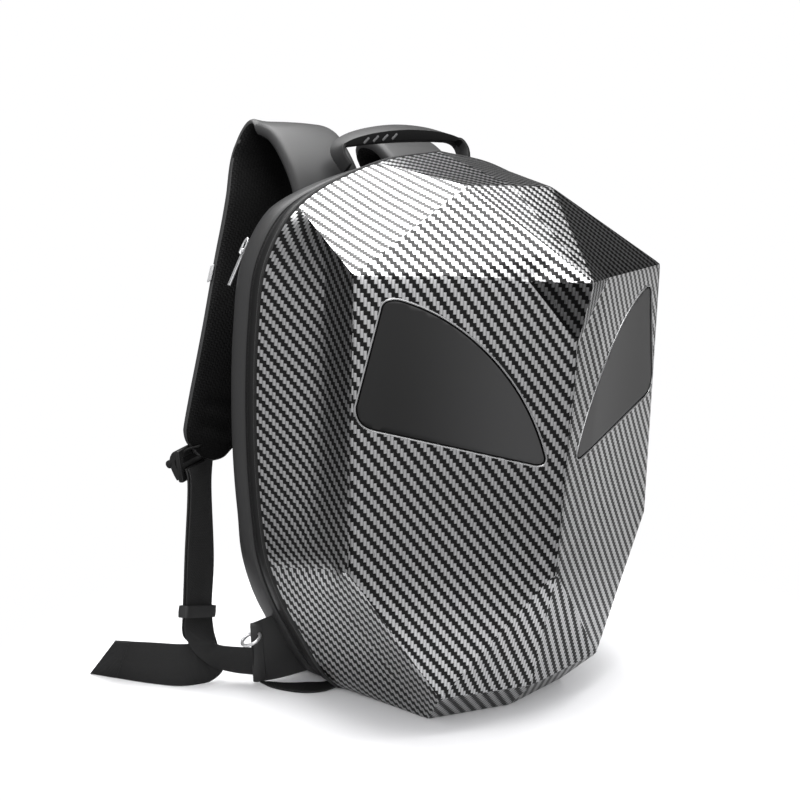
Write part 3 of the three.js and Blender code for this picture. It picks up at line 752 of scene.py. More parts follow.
class Wardrobe:
    """Every finish of the bag, made once."""

    def __init__(self) -> None:
        """Makes the groups and the materials."""
        groups = Groups()
        weave, grain = groups.weave(), groups.grain()
        cloth = Surface(roughness=0.44, specular=0.4)
        self.carbon = CarbonFinish().make(weave)
        self.panel = LensFinish().make(grain)
        self.strip = GrainFinish("strip", 0.009, cloth, 1100.0, strength=0.16).make(grain)
        self.satin = GrainFinish("satin", 0.034, cloth, 1100.0, 1.2, strength=0.16).make(grain)
        self.pad_face = GrainFinish("pad_face", 0.036, cloth, 1300.0, 0.8, strength=0.1).make(grain)
        self.binding = WovenFinish("binding", 0.005, 0.0009, Surface(roughness=0.7, sheen=0.1)).make(weave)
        self.zip = WovenFinish("zip", 0.008, 0.0016, Surface(roughness=0.55), 0.6).make(weave)
        coarse, padded = Surface(roughness=0.8, specular=0.15), Surface(roughness=0.8, specular=0.2)
        self.mesh = WovenFinish("mesh", 0.0030, 0.0022, coarse, 0.7, 0.0008).make(weave)
        self.back = WovenFinish("back", 0.018, 0.0026, padded, 0.75, 0.0009).make(weave)
        tape = Surface(roughness=0.62, specular=0.35)
        self.webbing = WovenFinish("webbing", 0.012, 0.0013, tape, 0.3, 0.0003).make(weave)
        self.keeper = WovenFinish("keeper", 0.020, 0.0010, Surface(roughness=0.4), 0.25, 0.0002).make(weave)
        moulded, rubbery = Surface(roughness=0.38), Surface(roughness=0.48)
        self.plastic = GrainFinish("plastic", 0.010, moulded, 1400.0, strength=0.12).make(grain)
        # Lighter rubber for the handle's top, standing in for the light falling on it; its shaded front takes
        # the dark rubber below
        self.rubber = GrainFinish("rubber", 0.022, rubbery, 1200.0, strength=0.12).make(grain)
        dull = Surface(roughness=0.6, specular=0.25)
        # Dark rubber for the lining, anchor and adjuster wrap, and also the painted shade on the handle's
        # front and in the eye pockets
        self.dark_rubber_and_painted_shade = GrainFinish("dark_rubber_and_painted_shade", 0.005, dull, 1200.0).make(grain)
        self.rib = GrainFinish("rib", 0.11, Surface(roughness=0.5), 1500.0).make(grain)
        self.tag = WovenFinish("tag", 0.42, 0.0007, Surface(roughness=0.32), 0.15, 0.0001).make(weave)
        self.thread = GrainFinish("thread", 0.02, Surface(roughness=0.6), 3000.0).make(grain)
        polished = Surface(roughness=0.22, specular=0.8, metallic=0.8)
        # Painted highlight: a bright polished finish for the thin lip that stands in for light caught along
        # the eye pockets' edges
        self.highlight_lip = GrainFinish("highlight_lip", 0.55, polished, 1500.0, strength=0.05).make(grain)
        self.metal = MetalFinish().make()


@dataclass
class Assembly:
    """A part of the bag, built from pieces that wear its finishes."""

    wear: Wardrobe


# The rim and the side wall


@dataclass(frozen=True)
class RimOutline:
    """The shell's rim: its plane, its outline and the form of the wall behind it."""

    plane: float = 0.042
    drop: float = 0.013
    drop_from: float = 0.400
    depth: float = 0.048
    swell: float = 0.029
    swell_from: float = 0.165
    swell_full: float = 0.040
    # Right half from the top centre down to the bottom centre: name, x, z
    rows: tuple[tuple[str, float, float], ...] = (
        ("top_centre", 0.0, 0.447),
        ("crown", 0.0605, 0.4366),
        ("shoulder", 0.1327, 0.4018),
        ("upper_side", 0.1602, 0.3606),
        ("side", 0.1690, 0.3092),
        ("waist", 0.1726, 0.2240),
        ("lower_side", 0.1691, 0.1553),
        ("hip", 0.1630, 0.1189),
        ("lower_corner", 0.1377, 0.0600),
        ("foot", 0.0954, 0.0),
        ("bottom_centre", 0.0, 0.0),
    )

    def span(self, first: str, last: str, steps: int) -> Array:
        """Places on the right half between two named points.

        Args:
            first: name of the upper point.
            last: name of the lower point.
            steps: number of steps between them.

        Returns:
            Places, steps + 1 of them.
        """
        names = [row[0] for row in self.rows]
        places = np.array([(x, self.plane, z) for _, x, z in self.rows])
        a, b = names.index(first), names.index(last)
        if first == "foot":
            return np.linspace(places[a], places[b], steps + 1)
        ends = len(names) - 1
        return smooth_curve(places, np.linspace(a / ends, b / ends, steps + 1))

    def loop(self, steps: int = 16) -> Array:
        """The whole outline, clockwise from the top centre, evenly spaced between the named points."""
        names = [row[0] for row in self.rows]
        spans = [self.span(a, b, steps)[:-1] for a, b in zip(names, names[1:])]
        half = np.concatenate(spans + [[(0.0, self.plane, 0.0)]])
        run = run_along(half)
        half = resampled(np.linspace(0.0, run[-1], len(half)), run, half)
        return np.concatenate((half, Side.RIGHT.mirror(half[-2:0:-1])))

    def wall_loop(self, depth: float, proud: float, foot: float, rounds: int = 0) -> Array:
        """The wall's outline at a depth behind the rim.

        Args:
            depth: how far behind the rim.
            proud: how far outside the rim's outline.
            foot: lowest height.
            rounds: how often the outline is smoothed.

        Returns:
            A closed loop of places.
        """
        loop = self.loop()
        moved = loop + loop_normals(loop) * proud
        for _ in range(rounds):
            moved = (np.roll(moved, 1, axis=0) + np.roll(moved, -1, axis=0) + 2 * moved) / 4
        rearness = min(1.0, depth / self.depth)
        height = moved[:, 2]
        share = np.maximum(0.0, (height - self.drop_from) / (self.rows[0][2] - self.drop_from))
        moved[:, 1] = self.plane + depth + self.swell_at(height) * rearness
        moved[:, 2] = np.maximum(foot, height - self.drop * share * rearness)
        return moved

    def swell_at(self, height: Array) -> Array:
        """How much deeper the wall is at a height."""
        return self.swell * (1 - smooth_step(self.swell_full, self.swell_from, height))


RIM = RimOutline()


@dataclass(frozen=True)
class Band:
    """A band of the side wall: its sections as depth behind the rim and height proud of it."""

    node: str
    wall: float
    foot: float
    steps: int
    sections: tuple[Pair, ...]

    def build(self) -> Piece:
        """The band as a closed ring."""
        outer = smooth_curve(np.array(self.sections), np.linspace(0, 1, self.steps))
        inner = outer[::-1] - np.array((0.0, self.wall))
        loops = [RIM.wall_loop(d, p, self.foot) for d, p in outer]
        loops += [RIM.wall_loop(d, p, self.foot + self.wall) for d, p in inner]
        return smooth_shade(hoop(self.node, np.array(loops)))


@dataclass
class SideWall(Assembly):
    """The zipped wall behind the shell."""

    bands: tuple[Band, ...] = (
        Band("rim_binding", 0.003, 0.0004, 9, (
            (0.0003, 0.0002), (0.0010, 0.0014), (0.0022, 0.0019), (0.0034, 0.0014), (0.0040, 0.0002),
        )),
        Band("front_strip", 0.002, 0.0, 11, (
            (0.0043, 0.0002), (0.0055, 0.0011), (0.0095, 0.0017), (0.0135, 0.0012), (0.0150, 0.0),
        )),
        Band("main_zip", 0.002, 0.0004, 11, (
            (0.0153, -0.0006), (0.0166, -0.0005), (0.0171, -0.0016), (0.0176, -0.0005), (0.0190, -0.0006),
        )),
        Band("gusset", 0.003, 0.0, 19, (
            (0.0193, 0.0004), (0.0207, 0.0017), (0.0230, 0.0026), (0.0310, 0.0040),
            (0.0390, 0.0030), (0.0430, 0.0), (0.0450, -0.0035),
        )),
        Band("rear_zip", 0.002, 0.0004, 11, (
            (0.0453, -0.0046), (0.0461, -0.0044), (0.0466, -0.0056), (0.0471, -0.0044), (0.0480, -0.0046),
        )),
    )
    lining: Band = Band("lining", 0.0012, 0.003, 8, (
        (0.0005, -0.0036), (0.02, -0.0036), (0.04, -0.004), (0.048, -0.0085),
    ))

    def build(self) -> None:
        """Builds and dresses the bands."""
        wear = self.wear
        finishes = (wear.binding, wear.strip, wear.zip, wear.satin, wear.zip)
        slots = ("binding", "satin", "zip", "satin", "zip")
        for band, finish, slot in zip(self.bands, finishes, slots):
            dressed(band.build(), [finish], slot, BAG, band.node)
        dressed(self.lining.build(), [self.wear.dark_rubber_and_painted_shade], "satin")


# The shell and its eye panels


@dataclass
class CarbonShell(Assembly):
    """The faceted front shell: corners of its facets on the right half, and how finely it is meshed."""

    wall: float = 0.0035
    pocket: float = 0.0022
    pocket_proud: float = 0.004
    seam: float = 0.0012
    sink: float = 0.0003
    gap: float = 0.0003
    spoke_middle: float = 0.55
    fine: int = 6
    band_rows: int = 24
    rounding: int = 1
    # How the weave lies on a facet: its turn in degrees, its stretch across and up
    drape: dict[str, Triple] = field(default_factory=lambda: {
        "front": (0.0, 0.90, 1.15),
        "beak": (0.0, 0.90, 1.15),
        "chin": (0.0, 0.82, 1.38),
        "brow": (0.0, 0.90, 1.19),
        "top": (-27.0, 0.95, 0.95),
        "band_0": (0.0, 1.0, 1.0),
        "band_1": (0.0, 1.15, 0.83),
        "band_2": (0.0, 1.15, 0.96),
        "band_3": (0.0, 0.81, 1.66),
        "band_4": (0.0, 0.90, 1.15),
    })
    # Bevel of the edges and the angle from which they have one, and angles of the shading, in degrees
    edge: float = 0.0005
    edge_angle: float = 62.0
    crease: float = 8.0
    panel_crease: float = 28.0
    # Where the map is turned to face away from, and the lean below which a facet lies flat
    inside: Row = (0.0, RIM.plane, 0.22)
    flat_lean: float = 0.2
    # Bright lip round each eye pocket, a painted highlight of its edge: how far outside the outline, its
    # radius, and its sides round
    highlight_lip: Pair = (0.0006, 0.0007)
    highlight_lip_sides: int = 8
    # Part of the edge behind the cheek that is rounded: reach round it and from the cheek, and how much
    hip_reach: float = 0.034
    hip_start: float = 0.034 / 3
    hip_rounding: int = 50
    # Part of the sides that is rounded: along Y and up, and how much
    side_reach: tuple[Pair, Pair] = ((-0.042, 0.036), (0.035, 0.325))
    side_rounding: int = 16
    corner: dict[str, Row] = field(default_factory=lambda: {
        "crown_middle": (0.0, -0.0513, 0.4180),
        "crown": (0.0412, -0.0513, 0.4175),
        "brow_end": (0.1506, -0.0660, 0.3553),
        "cheek": (0.1513, -0.0576, 0.1400),
        "chin": (0.0817, -0.0751, 0.0313),
        "chin_middle": (0.0, -0.0870, 0.0270),
        "brow_bend": (0.0385, -0.1190, 0.3503),
        "beak": (0.0, -0.1453, 0.3488),
        "under_beak": (0.0, -0.1297, 0.3049),
        "ridge_foot": (0.0, -0.1123, 0.1273),
    })
    # Spans of the rim: first and last name, steps, corners and middle points at both ends
    spans: tuple[tuple[str, str, int], ...] = (
        ("top_centre", "crown", 3),
        ("crown", "shoulder", 4),
        ("shoulder", "hip", 10),
        ("hip", "foot", 7),
        ("foot", "bottom_centre", 4),
    )
    spokes: tuple[tuple[str, Row | None], ...] = (
        ("crown_middle", None),
        ("crown", None),
        ("brow_end", None),
        ("cheek", None),
        ("chin", (0.070, -0.044, 0.0)),
        ("chin_middle", (0.0, -0.060, 0.0)),
    )
    brow_steps: int = 5
    beak_steps: int = 2
    ridge_steps: int = 7
    chin_steps: int = 3
    # Left eye panel in front view, x and z
    eye: dict[str, Pair] = field(default_factory=lambda: {
        "outer_top": (-0.1320, 0.3395),
        "outer_top_before": (-0.1326, 0.3310),
        "outer_top_after": (-0.1205, 0.3376),
        "bow_start": (-0.0687, 0.3212),
        "bow_end": (-0.0301, 0.2667),
        "inner_low_before": (-0.0159, 0.2205),
        "inner_low": (-0.0138, 0.2123),
        "inner_low_after": (-0.0235, 0.2140),
        "outer_low_before": (-0.1345, 0.2450),
        "outer_low": (-0.1484, 0.2488),
        "outer_low_after": (-0.1476, 0.2630),
    })
    eye_front: float = -0.150
    eye_rear: float = -0.056
    eye_steps: int = 12

    def at(self, name: str) -> Array:
        """A corner's place on the right half."""
        return np.array(self.corner[name])

    def line(self, first: str, last: str, steps: int) -> Array:
        """Places along a straight edge between two corners, at the fine spacing."""
        return np.linspace(self.at(first), self.at(last), steps * self.fine + 1)

    def band(self, index: int) -> Array:
        """The patch between one span of the rim and the facets' corners."""
        first, last, steps = self.spans[index]
        rim = RIM.span(first, last, steps * self.fine)
        ends = []
        for (name, bend), place in zip(self.spokes[index:index + 2], (rim[0], rim[-1])):
            middle = np.array(bend) if bend else place + (self.at(name) - place) * self.spoke_middle
            ends.append((middle, self.at(name)))
        middle, front = (np.linspace(ends[0][k], ends[1][k], len(rim)) for k in (0, 1))
        half = self.band_rows // 2
        rear = [rim + (middle - rim) * t for t in np.linspace(0, 1, half + 1)]
        fore = [middle + (front - middle) * t for t in np.linspace(0, 1, half + 1)[1:]]
        return np.array(rear + fore)

    def facets(self) -> dict[str, Array]:
        """The front facets of the right half, as patches of places."""
        spans = [steps * self.fine for _, _, steps in self.spans]
        brow = self.line("brow_end", "brow_bend", self.brow_steps)
        beak = self.line("brow_bend", "beak", self.beak_steps)
        brow_edge = np.concatenate((brow, beak[1:]))
        inner = np.linspace(self.at("crown"), self.at("beak"), len(brow_edge))
        top = self.line("crown_middle", "crown", self.spans[0][2])
        side = self.line("brow_bend", "under_beak", self.beak_steps)
        ridge = self.line("under_beak", "ridge_foot", self.ridge_steps)
        chin = self.line("ridge_foot", "chin", self.chin_steps)
        chin_ridge = self.line("ridge_foot", "chin_middle", self.chin_steps)
        shares = np.linspace(0, 1, len(brow_edge))[:, None, None]
        falls = np.linspace(0, 1, len(side))[:, None, None]
        return {
            "brow": np.array([np.linspace(a, b, spans[1] + 1) for a, b in zip(inner, brow_edge)]),
            "top": top[None] * (1 - shares) + self.at("beak") * shares,
            "beak": beak[None] * (1 - falls) + self.at("under_beak") * falls,
            "front": self.coons(
                np.concatenate((brow, side[1:])),
                np.linspace(self.at("cheek"), self.at("chin"), spans[3] + 1),
                np.linspace(self.at("brow_end"), self.at("cheek"), spans[2] + 1),
                np.concatenate((ridge, chin[1:])),
            ),
            "chin": np.array([np.linspace(a, b, spans[4] + 1) for a, b in zip(chin, chin_ridge)]),
        }

    @staticmethod
    def coons(top: Array, bottom: Array, left: Array, right: Array) -> Array:
        """A patch between four edges.

        Args:
            top: places along the top edge.
            bottom: places along the bottom edge, the same way.
            left: places down the left edge.
            right: places down the right edge.

        Returns:
            Rows of places.
        """
        u = np.linspace(0, 1, len(top))[None, :, None]
        v = np.linspace(0, 1, len(left))[:, None, None]
        across = left[:, None] * (1 - u) + right[:, None] * u
        down = top[None] * (1 - v) + bottom[None] * v
        flat = (top[0] * (1 - u) + top[-1] * u) * (1 - v) + (bottom[0] * (1 - u) + bottom[-1] * u) * v
        return across + down - flat

    def weave_map(self, patch: Array, anchor: Array, drape: Triple) -> Array:
        """Flat map of a patch, across to a viewer's right and up, from an anchor place.

        Args:
            patch: rows of places.
            anchor: the place with map place 0, 0.
            drape: the weave's turn in degrees, its stretch across and up.

        Returns:
            Map places in metres.
        """
        normal = unit(np.cross(patch[-1, -1] - patch[0, 0], patch[-1, 0] - patch[0, -1]))
        if np.dot(normal, patch.mean(axis=(0, 1)) - np.array(self.inside)) < 0:
            normal = -normal
        right = np.cross(UP, normal)
        right = unit(right) if np.linalg.norm(right) > self.flat_lean else ASIDE
        up = np.cross(normal, right)
        degrees, wide, high = drape
        x, y = (patch - anchor) @ right / wide, (patch - anchor) @ up / high
        cos, sin = math.cos(math.radians(degrees)), math.sin(math.radians(degrees))
        return np.stack((x * cos + y * sin, y * cos - x * sin), axis=2)

    def surface(self) -> Piece:
        """The rounded outer surface, open at the rim."""
        patches = dict(self.facets())
        for index in range(len(self.spans)):
            patches[f"band_{index}"] = self.band(index)
        low = ("chin", "band_3", "band_4")
        pieces = []
        for side in (Side.RIGHT, Side.LEFT):
            flip = np.array((side.value, 1.0, 1.0))
            for name, patch in patches.items():
                anchor = self.at("chin" if name in low else "brow_end") * flip
                places = patch * flip
                pieces.append(grid(name, places, self.weave_map(places, anchor, self.drape[name])))
        whole = joined("shell", pieces)
        edit(whole, merge, face_out, self.round_edges)
        edit(whole, self.round_hips)
        edit(whole, self.round_sides)
        return whole

    @staticmethod
    def relax(choose: Callable[[Array], Array], repeat: int) -> None:
        """Smooths the points of the piece in hand that are chosen by their places.

        Args:
            choose: which of the places given are smoothed.
            repeat: how often.
        """
        bpy.ops.object.mode_set(mode="OBJECT")
        mesh = bpy.context.object.data
        for part in (mesh.polygons, mesh.edges):
            part.foreach_set("select", np.zeros(len(part), dtype=bool))
        mesh.vertices.foreach_set("select", choose(values_of(mesh.vertices, "co")))
        bpy.ops.object.mode_set(mode="EDIT")
        bpy.ops.mesh.select_mode(type="VERT")
        bpy.ops.mesh.vertices_smooth(factor=0.5, repeat=repeat)

    def round_edges(self) -> None:
        """Smooths every point but those of the rim."""
        self.relax(lambda places: places[:, 1] < RIM.plane - MERGE, self.rounding)

    def round_sides(self) -> None:
        """Rounds off the bend along the middle of the sides."""
        low, high = np.array(self.side_reach).T
        self.relax(
            lambda places: np.all((places[:, 1:] > low) & (places[:, 1:] < high), axis=1), self.side_rounding,
        )

    def near_hip(self, places: Array) -> Array:
        """Which places lie near the edge between the side and the lower side, behind the cheek."""
        right = np.abs(places) * ASIDE + places * (REARWARD + UP)
        rear, front = RIM.span("shoulder", "hip", 1)[-1], self.at("cheek")
        share = np.clip((right - rear) @ (front - rear) / np.sum((front - rear) ** 2), 0.0, 1.0)
        far = np.linalg.norm(right - rear - share[:, None] * (front - rear), axis=1)
        inner = (places[:, 1] < RIM.plane - MERGE) & (places[:, 1] > front[1] + self.hip_start)
        return inner & (far < self.hip_reach)

    def round_hips(self) -> None:
        """Rounds off the edge between the side and the lower side."""
        self.relax(self.near_hip, self.hip_rounding)

    def eye_curve(self, names: Sequence[str], steps: int) -> Array:
        """A curve of the left eye's outline, pulled by named points."""
        return bezier([np.array((x, 0.0, z)) for x, z in (self.eye[name] for name in names)], steps)

    def eye_outline(self, inset: float) -> Array:
        """The left eye's outline in front view, drawn in from its edge."""
        corners = [
            self.eye_curve((f"{name}_before", name, f"{name}_after"), self.eye_steps)
            for name in ("outer_top", "inner_low", "outer_low")
        ]
        bow_names = ("outer_top_after", "bow_start", "bow_end", "inner_low_before")
        bow = self.eye_curve(bow_names, 3 * self.eye_steps)
        loop = np.concatenate((corners[0], bow[1:-1], *corners[1:]))
        return loop - loop_normals(loop) * inset

    def eye_prism(self, side: Side, inset: float) -> Piece:
        """A prism of the eye's outline along Y, on one side."""
        flat = side.mirror(self.eye_outline(inset))
        return tube("eye_prism", np.array([flat + REARWARD * y for y in (self.eye_front, self.eye_rear)]))

    def eye_highlight_lip(self, surface: Piece, side: Side) -> Piece:
        """A thin round lip on the surface along an eye's outline, in a bright finish: a painted highlight of
        the pocket's edge.

        Args:
            surface: the shell's outer surface.
            side: the eye's side.

        Returns:
            The lip.
        """
        outside, radius = self.highlight_lip
        places, out = [], []
        for x, _, z in side.mirror(self.eye_outline(-outside)):
            _, place, normal, _ = surface.ray_cast((x, 2 * self.eye_front, z), REARWARD)
            places.append(place)
            out.append(normal if normal.y < 0 else -normal)
        path, out = np.array(places), np.array(out)
        aside = unit(np.cross(loop_tangents(path), out))
        return wire(f"eye_highlight_lip_{side.word}", path, out, aside, radius, self.highlight_lip_sides)

    def layer(self, source: Piece, outer: float, inner: float) -> Piece:
        """A closed layer of the surface between two depths, negative outside it."""
        piece = copied(source, "layer")
        thick = inner - outer
        return modify(
            piece, "SOLIDIFY", thickness=thick, offset=-1 - 2 * outer / thick, use_even_offset=True,
            use_quality_normals=True,
        )

    def build(self) -> None:
        """Builds and dresses the shell and its eye panels."""
        surface = self.surface()
        shell = named(self.layer(surface, 0.0, self.wall), "shell_body")
        shell.data.materials.append(self.wear.carbon)
        spare = [surface]
        for side in Side:
            cutter = self.eye_prism(side, 0.0)
            skin = self.layer(surface, -self.pocket_proud, self.pocket)
            # Painted shade: the pocket's walls and floor take the dark rubber, so the seam round each panel
            # reads as a black line
            for piece in (cutter, skin):
                piece.data.materials.append(self.wear.dark_rubber_and_painted_shade)
            combine(cutter, skin, "INTERSECT")
            combine(shell, cutter, "DIFFERENCE", material_mode="TRANSFER")
            plate = self.layer(surface, self.sink, self.pocket - self.gap)
            panel = combine(self.eye_prism(side, self.seam), plate, "INTERSECT")
            soften(named(panel, f"eye_panel_body_{side.word}"), self.edge, self.edge_angle)
            smooth_shade(panel, self.panel_crease)
            dressed(panel, [self.wear.panel], "panel", BAG, f"eye_panel_{side.word}")
            # The bright lip is a painted highlight along the pocket's edge
            dressed(self.eye_highlight_lip(surface, side), [self.wear.highlight_lip], "carbon")
            spare += [cutter, skin, plate]
        for piece in spare:
            bpy.data.objects.remove(piece)
        smooth_shade(soften(shell, self.edge, self.edge_angle), self.crease)
        # The shell's second finish is the painted shade in the eye pockets
        dressed(shell, [self.wear.carbon, self.wear.dark_rubber_and_painted_shade], "carbon", BAG, "shell")


# The padded back


@dataclass
class PaddedBack(Assembly):
    """The cushioned panel against the wearer's back."""

    # Depth behind the rim and height proud of it, from the front of the panel's edge to its rear
    sections: tuple[Pair, ...] = ((0.0483, -0.005), (0.050, -0.005), (0.054, -0.007), (0.057, -0.010))
    edge_rings: int = 9
    edge_rounds: int = 12
    foot: float = 0.001
    # Rings of the rear face, how they crowd towards its middle, and how many of them the front face has
    rings: int = 26
    crowding: float = 0.8
    front_every: int = 4
    pad_high: float = 0.007
    pad_top: Pair = (0.320, 0.350)
    row_high: float = 0.105
    row_low: float = 0.45
    channel: Pair = (0.012, 0.039)
    middle_z: float = 0.215
    spine: float = 0.55
    border: Pair = (0.006, 0.040)
    # Seat over the roots of both straps: size, middle, radius of its edges
    seat_size: Triple = (0.214, 0.040, 0.0150)
    seat_place: Row = (0.0, 0.1066, 0.3690)
    seat_edge: float = 0.0045

    def ring(self, loop: Array, share: float, depth: float, high: float) -> Array:
        """A ring of a face, shrunk towards the panel's middle line.

        Args:
            loop: the face's edge.
            share: how much of its size is left.
            depth: how far the face lies behind the rim.
            high: height of the pads on it.

        Returns:
            A loop of places.
        """
        ring = loop.copy()
        ring[:, 0] *= share
        ring[:, 2] = self.middle_z + (loop[:, 2] - self.middle_z) * (self.spine + (1 - self.spine) * share)
        x, z = np.abs(ring[:, 0]), ring[:, 2]
        right = loop[loop[:, 0] >= 0]
        right = right[np.argsort(right[:, 2])]
        inside = np.minimum(np.interp(z, right[:, 2], right[:, 0]) - x, z)
        rows = self.row_low + (1 - self.row_low) * np.sin(z * math.pi / self.row_high) ** 2
        pads = smooth_step(*self.channel, x) * smooth_step(*self.border, inside) * rows
        pads = pads * (1 - smooth_step(*self.pad_top, z))
        ring[:, 1] = RIM.plane + depth + RIM.swell_at(z) + high * pads
        return ring

    def build(self) -> None:
        """Builds and dresses the panel."""
        profile = smooth_curve(np.array(self.sections), np.linspace(0, 1, self.edge_rings))
        edge = [RIM.wall_loop(d, p, self.foot, self.edge_rounds) for d, p in profile]
        shares = np.linspace(1, 0, self.rings)[1:-1] ** self.crowding
        front = [self.ring(edge[0], share, self.sections[0][0], 0.0) for share in shares[::-self.front_every]]
        rear = [self.ring(edge[-1], share, self.sections[-1][0], self.pad_high) for share in shares]
        panel = tube("back_pad", np.array(front + edge + rear))
        edit(
            panel,
            lambda: bpy.ops.mesh.select_face_by_sides(number=4, type="GREATER"),
            lambda: bpy.ops.mesh.quads_convert_to_tris(quad_method="BEAUTY", ngon_method="BEAUTY"),
        )
        set_map(panel, values_of(panel.data.vertices, "co")[:, (0, 2)])
        smooth_shade(panel, SOFT)
        dressed(panel, [self.wear.back], "back", BAG, "back_panel")
        seat = slab("strap_seat", self.seat_size, ASIDE, UP, np.array(self.seat_place), self.seat_edge)
        dressed(seat, [self.wear.satin], "satin")


# The grab handle


@dataclass
class GrabHandle(Assembly):
    """The moulded bar over the top, with slanted ribs on its front."""

    # From the right foot to the middle: x, y, z of the bar's middle, depth, height
    rows: tuple[Row, ...] = (
        (0.057, 0.080, 0.414, 0.016, 0.005),
        (0.060, 0.087, 0.434, 0.016, 0.005),
        (0.064, 0.096, 0.449, 0.016, 0.005),
        (0.061, 0.1015, 0.4565, 0.017, 0.0065),
        (0.044, 0.104, 0.462, 0.020, 0.012),
        (0.0, 0.104, 0.4655, 0.020, 0.016),
    )
    sag: float = 0.07
    # Shares of depth and height round the bar
    section: tuple[Pair, ...] = (
        (-0.5, -0.4), (-0.5, 0.15), (0.42, 0.5), (0.5, 0.3), (0.5, -0.4), (0.0, -0.5),
    )
    start: float = 0.12
    steps: int = 60
    edge: float = 0.0012
    edge_angle: float = 20.0
    # Faces with painted shade look forward by the first and up by less than the second, or down by the third;
    # the rest keep the lighter rubber of the lit top
    painted_shade_facing: Triple = (0.5, 0.6, 0.3)
    rib_places: tuple[float, ...] = (-0.0385, -0.029, -0.0195, -0.010)
    # Width, thickness and height of a rib
    rib: Triple = (0.0020, 0.0012, 0.0075)
    rib_slant: float = 48.0
    rib_drop: float = 0.0028
    rib_edge: float = 0.0006

    def line(self) -> tuple[Array, Array]:
        """Places along the bar's middle, and its depth and height there."""
        right = np.array(self.rows)
        left = right[-2::-1] * np.array((-1.0, 1.0, 1.0, 1.0, 1.0))
        whole = np.concatenate((right, left))
        whole[:, 2] += self.sag * whole[:, 0]
        every = smooth_curve(whole, np.linspace(self.start, 1 - self.start, self.steps))
        return every[:, :3], every[:, 3:]

    def build(self) -> None:
        """Builds and dresses the handle."""
        middle, sizes = self.line()
        along = tangents(middle)
        rear = across_to(np.tile(REARWARD, (len(middle), 1)), along)
        up = -np.cross(along, rear)
        shares = np.array(self.section)
        loops = (
            middle[:, None]
            + rear[:, None] * (sizes[:, 0, None] * shares[None, :, 0])[..., None]
            + up[:, None] * (sizes[:, 1, None] * shares[None, :, 1])[..., None]
        )
        bar = smooth_shade(soften(tube("handle", loops), self.edge, self.edge_angle, 3))
        # Painted shade: faces that look forward or down take the darker rubber, and the top stays lighter as
        # if lit
        _, rearness, upness = values_of(bar.data.polygons, "normal").T
        forward, up_most, down = self.painted_shade_facing
        painted_shade_faces = ((rearness < -forward) & (upness < up_most)) | (upness < -down)
        dressed(bar, [self.wear.rubber, self.wear.dark_rubber_and_painted_shade], "handle", BAG, "top_handle")
        bar.data.polygons.foreach_set("material_index", painted_shade_faces.astype(np.int32))
        front = self.rows[-1][1] - self.rows[-1][3] / 2
        order = np.argsort(middle[:, 0])
        heights = np.interp(self.rib_places, middle[order, 0], middle[order, 2]) - self.rib_drop
        places = [(x, front, z) for x, z in zip(self.rib_places, heights)]
        ribs = joined("handle_ribs", [self.slanted_rib(place) for place in places])
        dressed(smooth_shade(ribs), [self.wear.rib], "handle")

    def slanted_rib(self, place: Row) -> Piece:
        """One slanted rib on the bar's front, by its middle."""
        deselect()
        bpy.ops.mesh.primitive_cube_add(size=1)
        piece = bpy.context.object
        sloped = Matrix.Translation(place) @ Matrix.Rotation(math.radians(self.rib_slant), 4, "Y")
        piece.data.transform(sloped @ Matrix.Diagonal((*self.rib, 1.0)))
        return soften(piece, self.rib_edge)


# Straps and webbing


def rounded_edge(middle: Array, across: Array, out: Array, half: Array, deep: Array, rows: int) -> list[Array]:
    """Rows of places round one edge of a band, from its rear face to its front face.

    Args:
        middle: places along the band's middle.
        across: directions towards the edge.
        out: directions out of the front face.
        half: half its width along it.
        deep: half its thickness along it.
        rows: number of rows.

    Returns:
        The rows.
    """
    half, deep = half[:, None], deep[:, None]
    return [
        middle + across * (half - deep + deep * math.cos(turn)) + out * deep * math.sin(turn)
        for turn in np.radians(np.linspace(-90, 90, rows))
    ]


@dataclass(frozen=True)
class FlatBand:
    """A flat woven band through rows of an inner and an outer edge, given for the left side."""

    thick: float = 0.0018
    steps: int = 9
    lowest: float = 0.0005
    edge_rows: int = 5

    def edges(self, rows: Sequence[Row], side: Side) -> tuple[Array, Array]:
        """The band's inner and outer edge on one side, finely spaced."""
        table = np.array(rows)
        shares = np.linspace(0, 1, (len(rows) - 1) * self.steps + 1)
        lines = []
        for first in (0, 3):
            line = side.mirror(smooth_curve(table[:, first:first + 3], shares))
            line[:, 2] = np.maximum(line[:, 2], self.lowest)
            lines.append(line)
        return lines[0], lines[1]

    def build(self, name: str, rows: Sequence[Row], side: Side, thick: Array | None = None) -> Piece:
        """The band as a closed piece with rounded edges.

        Args:
            name: the piece's name.
            rows: rows of inner and outer edge.
            side: its side.
            thick: thickness along it, or None for the plain one.

        Returns:
            The piece.
        """
        inner, outer = self.edges(rows, side)
        middle = (inner + outer) / 2
        along = tangents(middle)
        half = (outer - inner) / 2
        across = unit(half)
        out = unit(np.cross(across, along)) * -side.value
        wide = np.linalg.norm(half, axis=1)
        deep = (np.full(len(middle), self.thick) if thick is None else thick) / 2
        loop = []
        for way in (1, -1):
            loop += rounded_edge(middle, across * way, out * way, wide, deep, self.edge_rows)
        piece = tube(name, np.array(loop).transpose(1, 0, 2))
        self.map_flat(piece, middle, across, along)
        return smooth_shade(piece, BLUNT)

    @staticmethod
    def map_flat(piece: Piece, middle: Array, across: Array, along: Array) -> None:
        """Maps a band by its length and width, the same on both faces.

        Args:
            piece: the band.
            middle: places along its middle.
            across: directions across it.
            along: directions along it.
        """
        places = values_of(piece.data.vertices, "co")
        near = nearest_to(places, middle)
        offset = places - middle[near]
        u = run_along(middle)[near] + np.sum(offset * along[near], axis=1)
        v = np.sum(offset * across[near], axis=1)
        set_map(piece, np.stack((u, v), axis=1))


